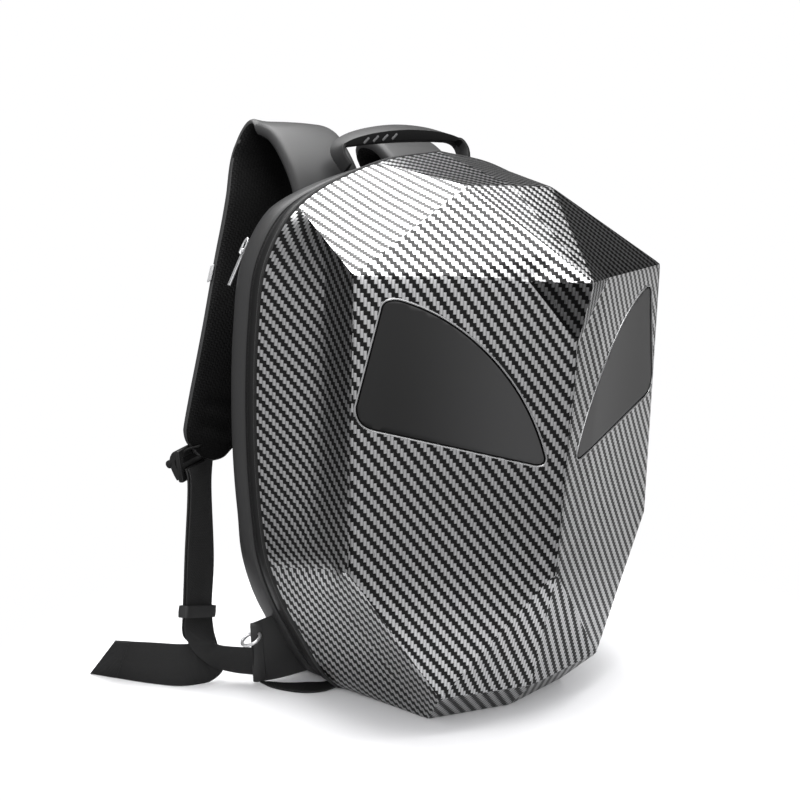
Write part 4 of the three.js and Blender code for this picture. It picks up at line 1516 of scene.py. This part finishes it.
@dataclass(frozen=True)
class Seam:
    """A row of stitches across a band, on both of its faces."""

    # Row of the band's edges that it lies on, and the rows between which the band's direction is taken
    at: int
    span: tuple[int, int]
    count: int
    margin: float
    lift: float
    # Length, width and height of a stitch
    size: Row

    def build(self, name: str, inner: Array, outer: Array) -> Piece:
        """The stitches, modelled once and copied.

        Args:
            name: the piece's name.
            inner: places along the band's inner edge.
            outer: places along its outer edge.

        Returns:
            The row as one piece.
        """
        shares = np.linspace(self.margin, 1 - self.margin, self.count)[:, None]
        places = inner[self.at] + (outer[self.at] - inner[self.at]) * shares
        across = unit(outer[self.at] - inner[self.at])
        first, last = self.span
        out = np.cross(across, across_to(unit(inner[last] - inner[first]), across))
        deselect()
        bpy.ops.mesh.primitive_uv_sphere_add(segments=6, ring_count=4, radius=0.5)
        seed = bpy.context.object
        long, wide, high = self.size
        twins = []
        for face in (out, -out):
            for place in places + face * self.lift:
                twin = copied(seed, "stitch")
                twins.append(aligned(twin, across * long, np.cross(face, across) * wide, face * high, place))
        bpy.data.objects.remove(seed)
        return smooth_shade(joined(name, twins), SMOOTH)


@dataclass
class ShoulderStrap(Assembly):
    """One shoulder strap: its pad, tag, adjuster, webbing, keeper, corner tab, ring and floor loop."""

    side: Side
    right_drop: float = 0.008
    right_lean: float = 0.032
    steps: int = 110
    fine_steps: int = 1200
    pad_edge_rows: int = 11
    pad_face_rows: int = 9
    # Swell of the pad's faces, and the half width from which it is full
    crown: float = 0.0011
    crown_from: float = 0.03
    # Two sewn slots on the pad's inner face: heights, half height, depth, shares of the width where they fade
    slot_heights: Pair = (0.2165, 0.2345)
    slot_half: float = 0.0042
    slot_deep: float = 0.0022
    slot_fade: Pair = (0.85, 0.55)
    # How far below the pad's middle the mesh starts
    mesh_below: float = 0.0032
    # Left pad: x, y, z of the middle, width, thickness
    pad_rows: tuple[Row, ...] = (
        (-0.066, 0.1058, 0.372, 0.062, 0.013),
        (-0.066, 0.1095, 0.412, 0.068, 0.013),
        (-0.068, 0.128, 0.444, 0.068, 0.013),
        (-0.070, 0.152, 0.464, 0.068, 0.013),
        (-0.074, 0.179, 0.467, 0.068, 0.013),
        (-0.084, 0.186, 0.444, 0.068, 0.013),
        (-0.097, 0.176, 0.405, 0.067, 0.013),
        (-0.111, 0.168, 0.362, 0.066, 0.013),
        (-0.133, 0.153, 0.306, 0.062, 0.012),
        (-0.155, 0.146, 0.242, 0.056, 0.012),
        (-0.167, 0.143, 0.209, 0.050, 0.011),
        (-0.171, 0.1425, 0.198, 0.037, 0.009),
        (-0.174, 0.142, 0.192, 0.018, 0.006),
    )
    # Left webbing and tail: inner edge x, y, z, then outer edge x, y, z
    webbing_rows: tuple[Row, ...] = (
        (-0.1641, 0.150, 0.1681, -0.1912, 0.131, 0.1783),
        (-0.1734, 0.1287, 0.105, -0.2036, 0.1133, 0.115),
        (-0.1784, 0.1247, 0.061, -0.2084, 0.1093, 0.071),
        (-0.182, 0.112, 0.043, -0.210, 0.109, 0.054),
        (-0.1835, 0.107, 0.0395, -0.203, 0.110, 0.036),
        (-0.182, 0.102, 0.0385, -0.185, 0.112, 0.017),
        (-0.176, 0.0935, 0.0385, -0.168, 0.108, 0.009),
        (-0.1615, 0.081, 0.0385, -0.154, 0.095, 0.008),
    )
    tail_rows: tuple[Row, ...] = (
        (-0.175, 0.1215, 0.030, -0.209, 0.1155, 0.049),
        (-0.171, 0.1195, 0.009, -0.204, 0.117, 0.041),
        (-0.186, 0.1175, 0.0006, -0.203, 0.1195, 0.0386),
        (-0.2074, 0.1225, 0.0005, -0.209, 0.123, 0.0385),
        (-0.229, 0.144, 0.0005, -0.229, 0.141, 0.0385),
        (-0.264, 0.193, 0.0005, -0.252, 0.160, 0.0385),
    )
    tab_rows: tuple[Row, ...] = (
        (-0.1605, 0.0795, 0.061, -0.1515, 0.094, 0.001),
        (-0.147, 0.082, 0.062, -0.132, 0.090, 0.0015),
        (-0.126, 0.084, 0.063, -0.102, 0.088, 0.003),
    )
    # Folded edge of the tab, over the webbing's end
    fold_rows: tuple[Row, ...] = (
        (-0.1632, 0.0816, 0.0600, -0.1542, 0.0962, 0.0014),
        (-0.1600, 0.0798, 0.0606, -0.1508, 0.0942, 0.0012),
        (-0.1545, 0.0806, 0.0608, -0.1445, 0.0924, 0.0014),
    )
    fold_thick: float = 0.0046
    fold_edge: float = 0.0008
    tab_thick: float = 0.0024
    tab_seam: Seam = Seam(2, (2, 5), 18, 0.04, 0.0012, (0.0021, 0.0007, 0.0006))
    # Steps between the rows of the tab, its fold and the loop
    tab_steps: tuple[int, int, int] = (14, 6, 12)
    ring_place: Row = (-0.163, 0.081, 0.0465)
    ring_turn: float = -25.0
    ring_size: Pair = (0.008, 0.0014)
    ring_steps: tuple[int, int] = (48, 14)
    loop_rows: tuple[Row, ...] = (
        (-0.143, 0.086, 0.0016, -0.150, 0.093, 0.0012),
        (-0.131, 0.076, 0.0014, -0.146, 0.076, 0.0012),
        (-0.116, 0.068, 0.0014, -0.129, 0.053, 0.0012),
        (-0.107, 0.062, 0.0016, -0.111, 0.0455, 0.0014),
        (-0.092, 0.054, 0.0045, -0.092, 0.046, 0.0045),
    )
    webbing_wide: float = 0.038
    webbing_thick: float = 0.0018
    layer_step: float = 0.0027
    # Hem at the tail's end: how much thicker, over which of the last rows, and its seam
    hem_more: float = 0.9
    hem_rows: Pair = (5.2, 4.4)
    hem_seam: Seam = Seam(-5, (-6, -1), 13, 0.06, 0.001584, (0.0022, 0.0007, 0.0006))
    keeper_row: int = 2
    keeper_size: Triple = (0.041, 0.0106, 0.010)
    keeper_wall: float = 0.0013
    keeper_steps: int = 48
    # Swell of the keeper's outer face by shares of its height, and how square it is across and deep
    keeper_swell: tuple[Pair, ...] = ((0.0, -0.5), (0.0002, -0.4), (0.0004, 0.0), (0.0002, 0.4), (0.0, 0.5))
    keeper_square: Pair = (0.22, 0.5)
    keeper_crease: float = 45.0
    lock_size: Triple = (0.046, 0.028, 0.005)
    lock_edge: float = 0.0016
    lock_crease: float = 35.0
    lock_gap: float = 0.0003
    # Slots of the adjuster: size, distance from its middle, radius of the edges
    lock_slot: Triple = (0.039, 0.005, 0.02)
    lock_slot_lift: float = 0.0047
    lock_slot_edge: float = 0.0012
    # Cheeks at its ends: points of their arc up and forward, half width and depth, steps, radius of the edges
    cheek_arc: tuple[Pair, ...] = ((0.011, -0.001), (0.006, -0.010), (-0.011, -0.001))
    cheek_half: Pair = (0.0022, 0.003)
    cheek_steps: int = 13
    cheek_edge: float = 0.0008
    cheek_angle: float = 40.0
    # Thumb bar: radius, sides, place up and forward
    thumb: float = 0.0036
    thumb_sides: int = 28
    thumb_place: Pair = (0.002, -0.0092)
    # Strap from the pad to the adjuster: where it starts and its half width, then up, forward and half width
    anchor_start: Pair = (0.86, 0.014)
    anchor_rows: tuple[Row, ...] = ((0.012, 0.0035, 0.0165), (0.0047, 0.0, 0.018), (0.010, -0.0040, 0.018))
    wrap_size: Triple = (0.037, 0.0142, 0.0046)
    wrap_edge: float = 0.0018
    lock_place: Row = (-0.1795, 0.150, 0.1895)
    lock_turn: float = 32.0
    lock_lean: float = 7.0
    lock_hang: float = 0.003
    tag_share: float = 0.625
    tag_size: Triple = (0.007, 0.015, 0.0012)
    tag_gap: float = 0.0006
    tag_edge: float = 0.0004

    def strap_line(self, shares: Array) -> dict[str, Array]:
        """The pad's middle line, directions and sizes.

        Args:
            shares: shares of the way along it.

        Returns:
            Arrays named middle, along, across, out, wide and thick.
        """
        table = np.array(self.pad_rows)
        if self.side is Side.RIGHT:
            base, top = table[0, 2], table[:, 2].max()
            share = np.maximum(0.0, (table[:, 2] - base) / (top - base)) * (table[:, 1] > table[1, 1])
            table[:, 0] += self.right_lean * share
            table[:, 2] -= self.right_drop * share
        fine = np.linspace(0, 1, self.fine_steps + 1)
        every, sizes = (smooth_curve(part, fine) for part in (table[:, :3], table[:, 3:]))
        middle = resampled(shares, fine, every)
        along = unit(resampled(shares, fine, tangents(every)))
        across = across_to(np.tile(ASIDE, (len(shares), 1)), along)
        line = {"middle": middle, "along": along, "across": across, "out": np.cross(across, along)}
        line = {name: self.side.mirror(values) for name, values in line.items()}
        line["across"] = line["across"] * -self.side.value
        wide, thick = resampled(shares, fine, sizes).T
        return {**line, "wide": wide, "thick": thick}

    def build_pad(self) -> None:
        """Builds and dresses the pad: coated cloth outside, mesh inside."""
        line = self.strap_line(np.linspace(0, 1, self.steps))
        middle, across, out = line["middle"], line["across"], line["out"]
        half, deep = line["wide"] / 2, line["thick"] / 2
        loop = []
        for way in (1, -1):
            loop += rounded_edge(middle, across * way, out * way, half, deep, self.pad_edge_rows)
            for share in np.linspace(1, -1, self.pad_face_rows + 2)[1:-1]:
                rise = deep + self.crown * (1 - share**2) * np.minimum(1.0, half / self.crown_from)
                if way == -1:
                    rise = rise - self.slot_dents(line, share)
                reach = (half - deep) * share
                loop.append(middle + across * (way * reach)[:, None] + out * (way * rise)[:, None])
        pad = tube(f"pad_{self.side.word}", np.array(loop).transpose(1, 0, 2))
        self.split_faces(pad, middle, out)
        smooth_shade(pad, SOFT)
        dressed(pad, [self.wear.pad_face, self.wear.mesh], "pad", BAG, f"strap_pad_{self.side.word}")

    def slot_dents(self, line: dict[str, Array], share: float) -> Array:
        """Depth of the two sewn slots on the pad's inner face."""
        height = line["middle"][:, 2]
        descending = line["along"][:, 2] < 0
        width = smooth_step(*self.slot_fade, abs(share))
        dents = sum(np.exp(-(((height - z) / self.slot_half) ** 2)) for z in self.slot_heights)
        return self.slot_deep * dents * descending * width

    def split_faces(self, pad: Piece, middle: Array, out: Array) -> None:
        """Gives the pad's inner side the second material slot.

        Args:
            pad: the pad.
            middle: places along its middle.
            out: directions out of its outer face.
        """
        centres = values_of(pad.data.polygons, "center")
        near = nearest_to(centres, middle)
        height = np.sum((centres - middle[near]) * out[near], axis=1)
        pad.data.polygons.foreach_set("material_index", (height < -self.mesh_below).astype(np.int32))

    def build_tag(self) -> None:
        """Builds the reflective tag on the pad's outer edge."""
        line = self.strap_line(np.array([self.tag_share]))
        across = line["across"][0] * self.side.value
        along = line["along"][0]
        place = line["middle"][0] + across * (line["wide"][0] / 2 + self.tag_gap + self.tag_size[2] / 2)
        name = f"tag_{self.side.word}"
        tag = slab(name, self.tag_size, np.cross(along, across), along, place, self.tag_edge)
        dressed(tag, [self.wear.tag], "tag", BAG, f"strap_tag_{self.side.word}")

    def lock_frame(self) -> tuple[Array, Array, Array, Array]:
        """The adjuster's middle, and its directions outward, up and forward."""
        turn, lean = math.radians(self.lock_turn), math.radians(self.lock_lean)
        way = self.side.value
        up = np.array((way * math.sin(lean), 0.0, math.cos(lean)))
        outward = np.array((way * math.cos(turn), -math.sin(turn), 0.0))
        outward = across_to(outward, up)
        forward = np.cross(up, outward) * -way
        return self.side.mirror(np.array(self.lock_place)), outward, up, forward

    def lock_row(self, layer: int) -> Row:
        """Edges of a layer of webbing at the adjuster's face, for the left side's tables."""
        middle, outward, up, forward = self.lock_frame()
        proud = self.lock_size[2] / 2 + self.lock_gap + self.webbing_thick / 2 + layer * self.layer_step
        return self.edge_row(middle - up * self.lock_hang + forward * proud, outward, self.webbing_wide / 2)

    def edge_row(self, place: Array, outward: Array, half: float) -> Row:
        """Inner and outer edge of a band at a place, for the left side's tables."""
        inner, outer = (self.side.mirror(place + outward * way * half) for way in (-1, 1))
        return (*inner, *outer)

    def band_row(self, index: int) -> tuple[Array, Array, Array, Array]:
        """Middle of a row of the left webbing, and its directions across, along and forward."""
        table = np.array(self.webbing_rows)
        middles = (table[:, :3] + table[:, 3:]) / 2
        across = unit(table[index, 3:] - table[index, :3])
        along = middles[min(index + 1, len(table) - 1)] - middles[max(index - 1, 0)]
        along = across_to(along, across)
        return middles[index], across, along, np.cross(across, along)

    def build_webbing(self) -> None:
        """Builds the webbing, its tail with a sewn hem, and the keeper."""
        band = FlatBand(self.webbing_thick)
        front = (self.lock_row(1), *self.webbing_rows)
        webbing = band.build(f"webbing_band_{self.side.word}", front, self.side)
        dressed(webbing, [self.wear.webbing], "webbing", BAG, f"webbing_{self.side.word}")
        behind = []
        for index in range(self.keeper_row + 1):
            forward = self.band_row(index)[3]
            behind.append(tuple(np.array(self.webbing_rows[index]) - np.tile(forward, 2) * self.layer_step))
        rows = (self.lock_row(0), *behind, *self.tail_rows)
        count = (len(rows) - 1) * band.steps + 1
        first, last = (count - row for row in self.hem_rows)
        hem = 1 + self.hem_more * smooth_step(first, last, np.arange(count))
        tail = band.build(f"tail_band_{self.side.word}", rows, self.side, self.webbing_thick * hem)
        dressed(tail, [self.wear.webbing], "webbing", BAG, f"webbing_tail_{self.side.word}")
        thread = self.hem_seam.build(f"hem_thread_{self.side.word}", *band.edges(rows, self.side))
        dressed(thread, [self.wear.thread], "webbing")
        self.build_keeper()

    def build_keeper(self) -> None:
        """Builds the elastic keeper round both layers."""
        middle, across, along, forward = self.band_row(self.keeper_row)
        middle = middle - forward * self.layer_step / 2
        wide, deep, high = self.keeper_size
        turns = round_turn(self.keeper_steps)
        rounds = zip((np.cos(turns), np.sin(turns)), self.keeper_square)
        x, y = (np.sign(way) * np.abs(way) ** power for way, power in rounds)
        loops = []
        for grow, lift in (*self.keeper_swell, (-self.keeper_wall, 0.5), (-self.keeper_wall, -0.5)):
            ring = across * (x * (wide / 2 + grow))[:, None] + forward * (y * (deep / 2 + grow))[:, None]
            loops.append(middle + ring + along * (lift * high))
        keeper = hoop(f"keeper_band_{self.side.word}", self.side.mirror(np.array(loops)))
        smooth_shade(keeper, self.keeper_crease)
        dressed(keeper, [self.wear.keeper], "keeper", BAG, f"keeper_{self.side.word}")

    def build_lock(self) -> None:
        """Builds the moulded adjuster: a slotted frame with a thumb bar behind it."""
        middle, outward, up, forward = self.lock_frame()
        wide = self.lock_size[0]
        frame = slab("lock_frame", self.lock_size, outward, up, middle, self.lock_edge)
        for way in (1, -1):
            place = middle + up * way * self.lock_slot_lift
            cutter = slab("lock_slot", self.lock_slot, outward, up, place, self.lock_slot_edge)
            combine(frame, cutter, "DIFFERENCE")
            bpy.data.objects.remove(cutter)
        smooth_shade(frame, self.lock_crease)
        pieces = [frame]
        half_wide, half_deep = self.cheek_half
        for way in (-1, 1):
            end = middle + outward * way * (wide / 2 - half_wide)
            points = [end + up * high + forward * fore for high, fore in self.cheek_arc]
            arc = bezier(points, self.cheek_steps)
            side, out = outward * half_wide, np.cross(outward, tangents(arc)) * half_deep
            loop = [arc + side * x + out * y for x, y in ((-1, -1), (1, -1), (1, 1), (-1, 1))]
            cheek = tube("lock_cheek", np.array(loop).transpose(1, 0, 2))
            pieces.append(soften(cheek, self.cheek_edge, self.cheek_angle))
        deselect()
        bpy.ops.mesh.primitive_cylinder_add(vertices=self.thumb_sides, radius=self.thumb, depth=wide)
        high, fore = self.thumb_place
        place = middle + up * high + forward * fore
        bar = aligned(bpy.context.object, np.cross(outward, up), up, outward, place)
        edit(bar, face_out)
        pieces.append(smooth_shade(soften(bar, self.cheek_edge, BLUNT, 3)))
        self.build_anchor()
        wrap = slab(f"lock_wrap_{self.side.word}", self.wrap_size, outward, up, middle, self.wrap_edge)
        dressed(wrap, [self.wear.dark_rubber_and_painted_shade], "webbing")
        lock = joined(f"adjuster_{self.side.word}", pieces)
        dressed(lock, [self.wear.plastic], "plastic", BAG, f"ladder_lock_{self.side.word}")

    def build_anchor(self) -> None:
        """Builds the short strap that holds the adjuster to the pad's end."""
        middle, outward, up, forward = self.lock_frame()
        share, half = self.anchor_start
        rows = [self.edge_row(self.strap_line(np.array([share]))["middle"][0], outward, half)]
        for high, fore, half in self.anchor_rows:
            rows.append(self.edge_row(middle + up * high + forward * fore, outward, half))
        anchor = FlatBand(self.webbing_thick).build(f"anchor_{self.side.word}", rows, self.side)
        dressed(anchor, [self.wear.dark_rubber_and_painted_shade], "webbing")

    def build_corner(self) -> None:
        """Builds the corner tab with its seam, the ring in it and the loop on the floor."""
        word = self.side.word
        tab_steps, fold_steps, loop_steps = self.tab_steps
        band = FlatBand(self.tab_thick, tab_steps)
        tab = band.build(f"tab_{word}", self.tab_rows, self.side)
        dressed(tab, [self.wear.satin], "satin", BAG, f"corner_tab_{word}")
        thread = self.tab_seam.build(f"tab_thread_{word}", *band.edges(self.tab_rows, self.side))
        dressed(thread, [self.wear.thread], "satin")
        fold = FlatBand(self.fold_thick, fold_steps).build(f"tab_fold_{word}", self.fold_rows, self.side)
        dressed(soften(fold, self.fold_edge, BLUNT), [self.wear.satin], "satin")
        loop = FlatBand(self.webbing_thick, loop_steps).build(f"floor_loop_{word}", self.loop_rows, self.side)
        dressed(loop, [self.wear.webbing], "webbing", BAG, f"base_loop_{word}")
        place = Matrix.Translation(self.side.mirror(np.array(self.ring_place)))
        turn = Matrix.Rotation(-self.side.value * math.radians(self.ring_turn), 4, "Y")
        ring = named(torus(self.ring_size, self.ring_steps, place @ turn), f"ring_{word}")
        dressed(smooth_shade(ring, SMOOTH), [self.wear.metal], "metal", BAG, f"tab_ring_{word}")

    def build(self) -> None:
        """Builds and dresses the whole strap."""
        self.build_pad()
        self.build_tag()
        self.build_lock()
        self.build_webbing()
        self.build_corner()


# The zip's slider and puller


@dataclass
class ZipPull(Assembly):
    """The slider on the rear zip and its puller, which swings on the slider's pin."""

    pin: Row = (-0.157672, 0.08865, 0.367734)
    along: Row = (0.447529, 0.0, 0.894269)
    out: Row = (-0.894269, 0.0, 0.447529)
    # Bridge: half width, half length and wire's radius, then its middle along and out, and its steps
    bridge: Triple = (0.0030, 0.0070, 0.0007)
    bridge_place: Pair = (0.0035, 0.0012)
    bridge_steps: tuple[int, int] = (40, 10)
    long: float = 0.028
    wide: float = 0.0036
    thick: float = 0.0016
    neck: float = 0.0024
    eye: Pair = (0.0013, 0.0006)
    eye_steps: tuple[int, int] = (24, 10)
    bar_edge: float = 0.0005
    neck_edge: float = 0.0003
    neck_share: float = 0.8
    rim: float = 0.0011
    recess: float = 0.0004
    # The bar's two large faces: smallest area, and how square they lie to the swing
    face_area: float = 5e-5
    face_square: float = 0.99

    def build(self) -> None:
        """Builds and dresses the slider and the puller."""
        solid = bpy.data.objects["zip_slider"]
        solid.data.materials.clear()
        solid.data.materials.append(self.wear.metal)
        self.build_bridge()
        self.build_puller()

    def build_bridge(self) -> None:
        """Builds the slider's wire bridge, an oval round its lug."""
        half_wide, half_long, radius = self.bridge
        along, out = np.array(self.along), np.array(self.out)
        up_zip, away = self.bridge_place
        middle = np.array(self.pin) + along * up_zip + out * away
        steps, sides = self.bridge_steps
        turns = round_turn(steps)[:, None]
        path = middle + along * half_long * np.cos(turns) + REARWARD * half_wide * np.sin(turns)
        bridge = wire("slider_bridge", path, unit(path - middle), out, radius, sides)
        dressed(bridge, [self.wear.metal], "metal")

    def build_puller(self) -> None:
        """Builds the puller: a flat bar with an eye at the pin and a framed recess on both faces."""
        along, out = np.array(self.along), np.array(self.out)
        across = np.cross(out, along)
        middle = np.array(self.pin) - along * (self.long / 2 + self.neck)
        size = (self.wide, self.long, self.thick)
        bar = slab("puller_bar", size, across, along, middle, self.bar_edge)
        bar.data.materials.append(self.wear.metal)
        bar.data.materials.append(self.wear.plastic)
        pick(bar)
        square = np.abs(values_of(bar.data.polygons, "normal") @ out) > self.face_square
        flat = square & np.array([face.area > self.face_area for face in bar.data.polygons])
        bpy.ops.object.mode_set(mode="EDIT")
        bpy.ops.mesh.select_mode(type="FACE")
        bpy.ops.mesh.select_all(action="DESELECT")
        bpy.ops.object.mode_set(mode="OBJECT")
        bar.data.polygons.foreach_set("select", flat)
        bpy.ops.object.mode_set(mode="EDIT")
        bpy.ops.mesh.inset(thickness=self.rim, depth=-self.recess, use_individual=True)
        bar.active_material_index = 1
        bpy.ops.object.material_slot_assign()
        bpy.ops.object.mode_set(mode="OBJECT")
        radius, thread = self.eye
        turned = Matrix.Translation(self.pin) @ Matrix.Rotation(math.radians(90), 4, "X")
        eye = torus(self.eye, self.eye_steps, turned)
        joint = np.array(self.pin) - along * (self.neck + radius) / 2
        size = (2 * radius, self.neck - radius + 2 * thread, self.thick * self.neck_share)
        neck = slab("puller_neck", size, across, along, joint, self.neck_edge)
        for piece in (eye, neck):
            piece.data.materials.append(self.wear.metal)
        puller = smooth_shade(joined("puller", [bar, eye, neck]))
        dressed(puller, [self.wear.metal, self.wear.plastic], "metal", PULLER, "zip_puller")


# The studio


@dataclass
class Studio:
    """Floor, soft light and camera."""

    eye: Row = (-0.5496, -0.7185, 0.3979)
    azimuth: float = -33.86
    elevation: float = 9.616
    lens: float = 49.896
    sensor: float = 36.0
    nearest: float = 0.01
    floor_fades: Pair = (0.22, 0.42)
    floor_middle: Row = (0.0, 0.03, 0.0)
    floor_size: float = 14.0
    floor_scale: float = 2.0
    floor_tones: Pair = (0.94, 0.97)
    floor_bounce: float = 0.48
    # What shiny surfaces see of the room: brighter one way, dark low down and on one card
    bright_side: Row = (-0.75, -0.65, -0.10)
    bright_range: Pair = (-0.25, 0.75)
    bright_levels: Pair = (0.02, 0.51)
    low_range: Pair = (-0.57, -0.36)
    low_levels: Pair = (0.03, 1.0)
    dark_side: Row = (-0.55, -0.50, -0.67)
    dark_range: Pair = (0.82, 0.91)
    dark_levels: Pair = (1.0, 0.01)
    # Soft panels: name, place, target, width and height, power in watts
    panels: tuple[tuple[str, Row, Row, Pair, float], ...] = (
        ("overhead", (-0.10, 0.25, 1.45), (-0.10, 0.25, 0.0), (1.1, 1.4), 31.0),
        ("brow", (0.70, 0.10, 1.45), (0.70, 0.10, 0.0), (0.5, 0.6), 2.4),
        ("front", (-0.5, -2.1, 0.95), (0.0, 0.0, 0.22), (1.2, 1.0), 9.0),
        ("right", (1.9, 0.0, -0.15), (0.0, -0.05, 0.2), (0.9, 1.0), 2.0),
        ("rear", (1.15, 1.75, 0.42), (0.1, 0.0, 0.40), (0.9, 0.25), 0.7),
    )

    def build(self) -> None:
        """Sets up the camera, the floor and the lights."""
        self.place_camera()
        self.lay_floor()
        self.light()

    def place_camera(self) -> None:
        """Adds the camera at the photograph's viewpoint."""
        camera = bpy.data.cameras.new("camera")
        camera.lens = self.lens
        camera.sensor_width = self.sensor
        camera.clip_start = self.nearest
        holder = bpy.data.objects.new("camera", camera)
        bpy.context.collection.objects.link(holder)
        holder.location = self.eye
        holder.rotation_euler = (math.radians(90 - self.elevation), 0.0, math.radians(self.azimuth))
        bpy.context.scene.camera = holder

    def lay_floor(self) -> None:
        """Lays a pale floor."""
        deselect()
        bpy.ops.mesh.primitive_plane_add(size=self.floor_size)
        floor = named(bpy.context.object, "floor")
        finish, nodes, shader = Surface(roughness=0.9, specular=0.1).start("floor")
        place = nodes.place()
        tone = nodes.spread(nodes.noise(place, self.floor_scale), 1.0, self.floor_tones)
        seen = nodes.add("ShaderNodeLightPath").outputs["Is Camera Ray"]
        far = nodes.vector("DISTANCE", place, self.floor_middle)
        nodes.feed(shader, {
            "Base Color": nodes.blend(seen, grey(self.floor_bounce), tone),
            "Alpha": nodes.ranged(far, (1.0, 0.0), self.floor_fades, "SMOOTHSTEP"),
        })
        floor.data.materials.append(finish)

    def light(self) -> None:
        """Hangs the soft lights and fills the room."""
        for row in self.panels:
            self.panel(*row)
        world = bpy.data.worlds.new("room")
        bpy.context.scene.world = world
        world.use_nodes = True
        nodes = Nodes(world.node_tree)
        shader = world.node_tree.nodes["Background"]
        ray = nodes.add("ShaderNodeLightPath").outputs
        way = nodes.add("ShaderNodeTexCoord").outputs["Generated"]
        bright, dark = (nodes.vector("DOT_PRODUCT", way, side) for side in (self.bright_side, self.dark_side))
        level = nodes.ranged(bright, self.bright_levels, self.bright_range)
        below = nodes.ranged(nodes.part(way, 2), self.low_levels, self.low_range)
        card = nodes.ranged(dark, self.dark_levels, self.dark_range)
        level = nodes.math("MULTIPLY", nodes.math("MULTIPLY", level, below), card)
        mirrored = nodes.blend(level, grey(0.0), grey(1.0))
        tone = nodes.blend(ray["Is Glossy Ray"], grey(1.0), mirrored)
        nodes.feed(shader, {"Color": nodes.blend(ray["Is Camera Ray"], tone, grey(1.0))})
        bpy.context.scene.view_settings.view_transform = "Standard"

    def panel(self, name: str, place: Row, target: Row, size: Pair, power: float) -> None:
        """Hangs one soft panel.

        Args:
            name: the light's name.
            place: where it hangs.
            target: what it points at.
            size: its width and height.
            power: its power in watts.
        """
        light = bpy.data.lights.new(name, "AREA")
        light.shape = "RECTANGLE"
        light.size, light.size_y = size
        light.energy = power
        holder = bpy.data.objects.new(name, light)
        bpy.context.collection.objects.link(holder)
        holder.location = place
        holder.rotation_euler = (Vector(target) - Vector(place)).to_track_quat("-Z", "Y").to_euler()


def main() -> None:
    """Builds the bag around its frame."""
    logging.basicConfig(level=logging.INFO, format="%(message)s")
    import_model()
    deselect()
    wear = Wardrobe()
    Studio().build()
    CarbonShell(wear).build()
    SideWall(wear).build()
    PaddedBack(wear).build()
    GrabHandle(wear).build()
    for side in Side:
        ShoulderStrap(wear, side).build()
    ZipPull(wear).build()


if __name__ == "__main__":
    main()
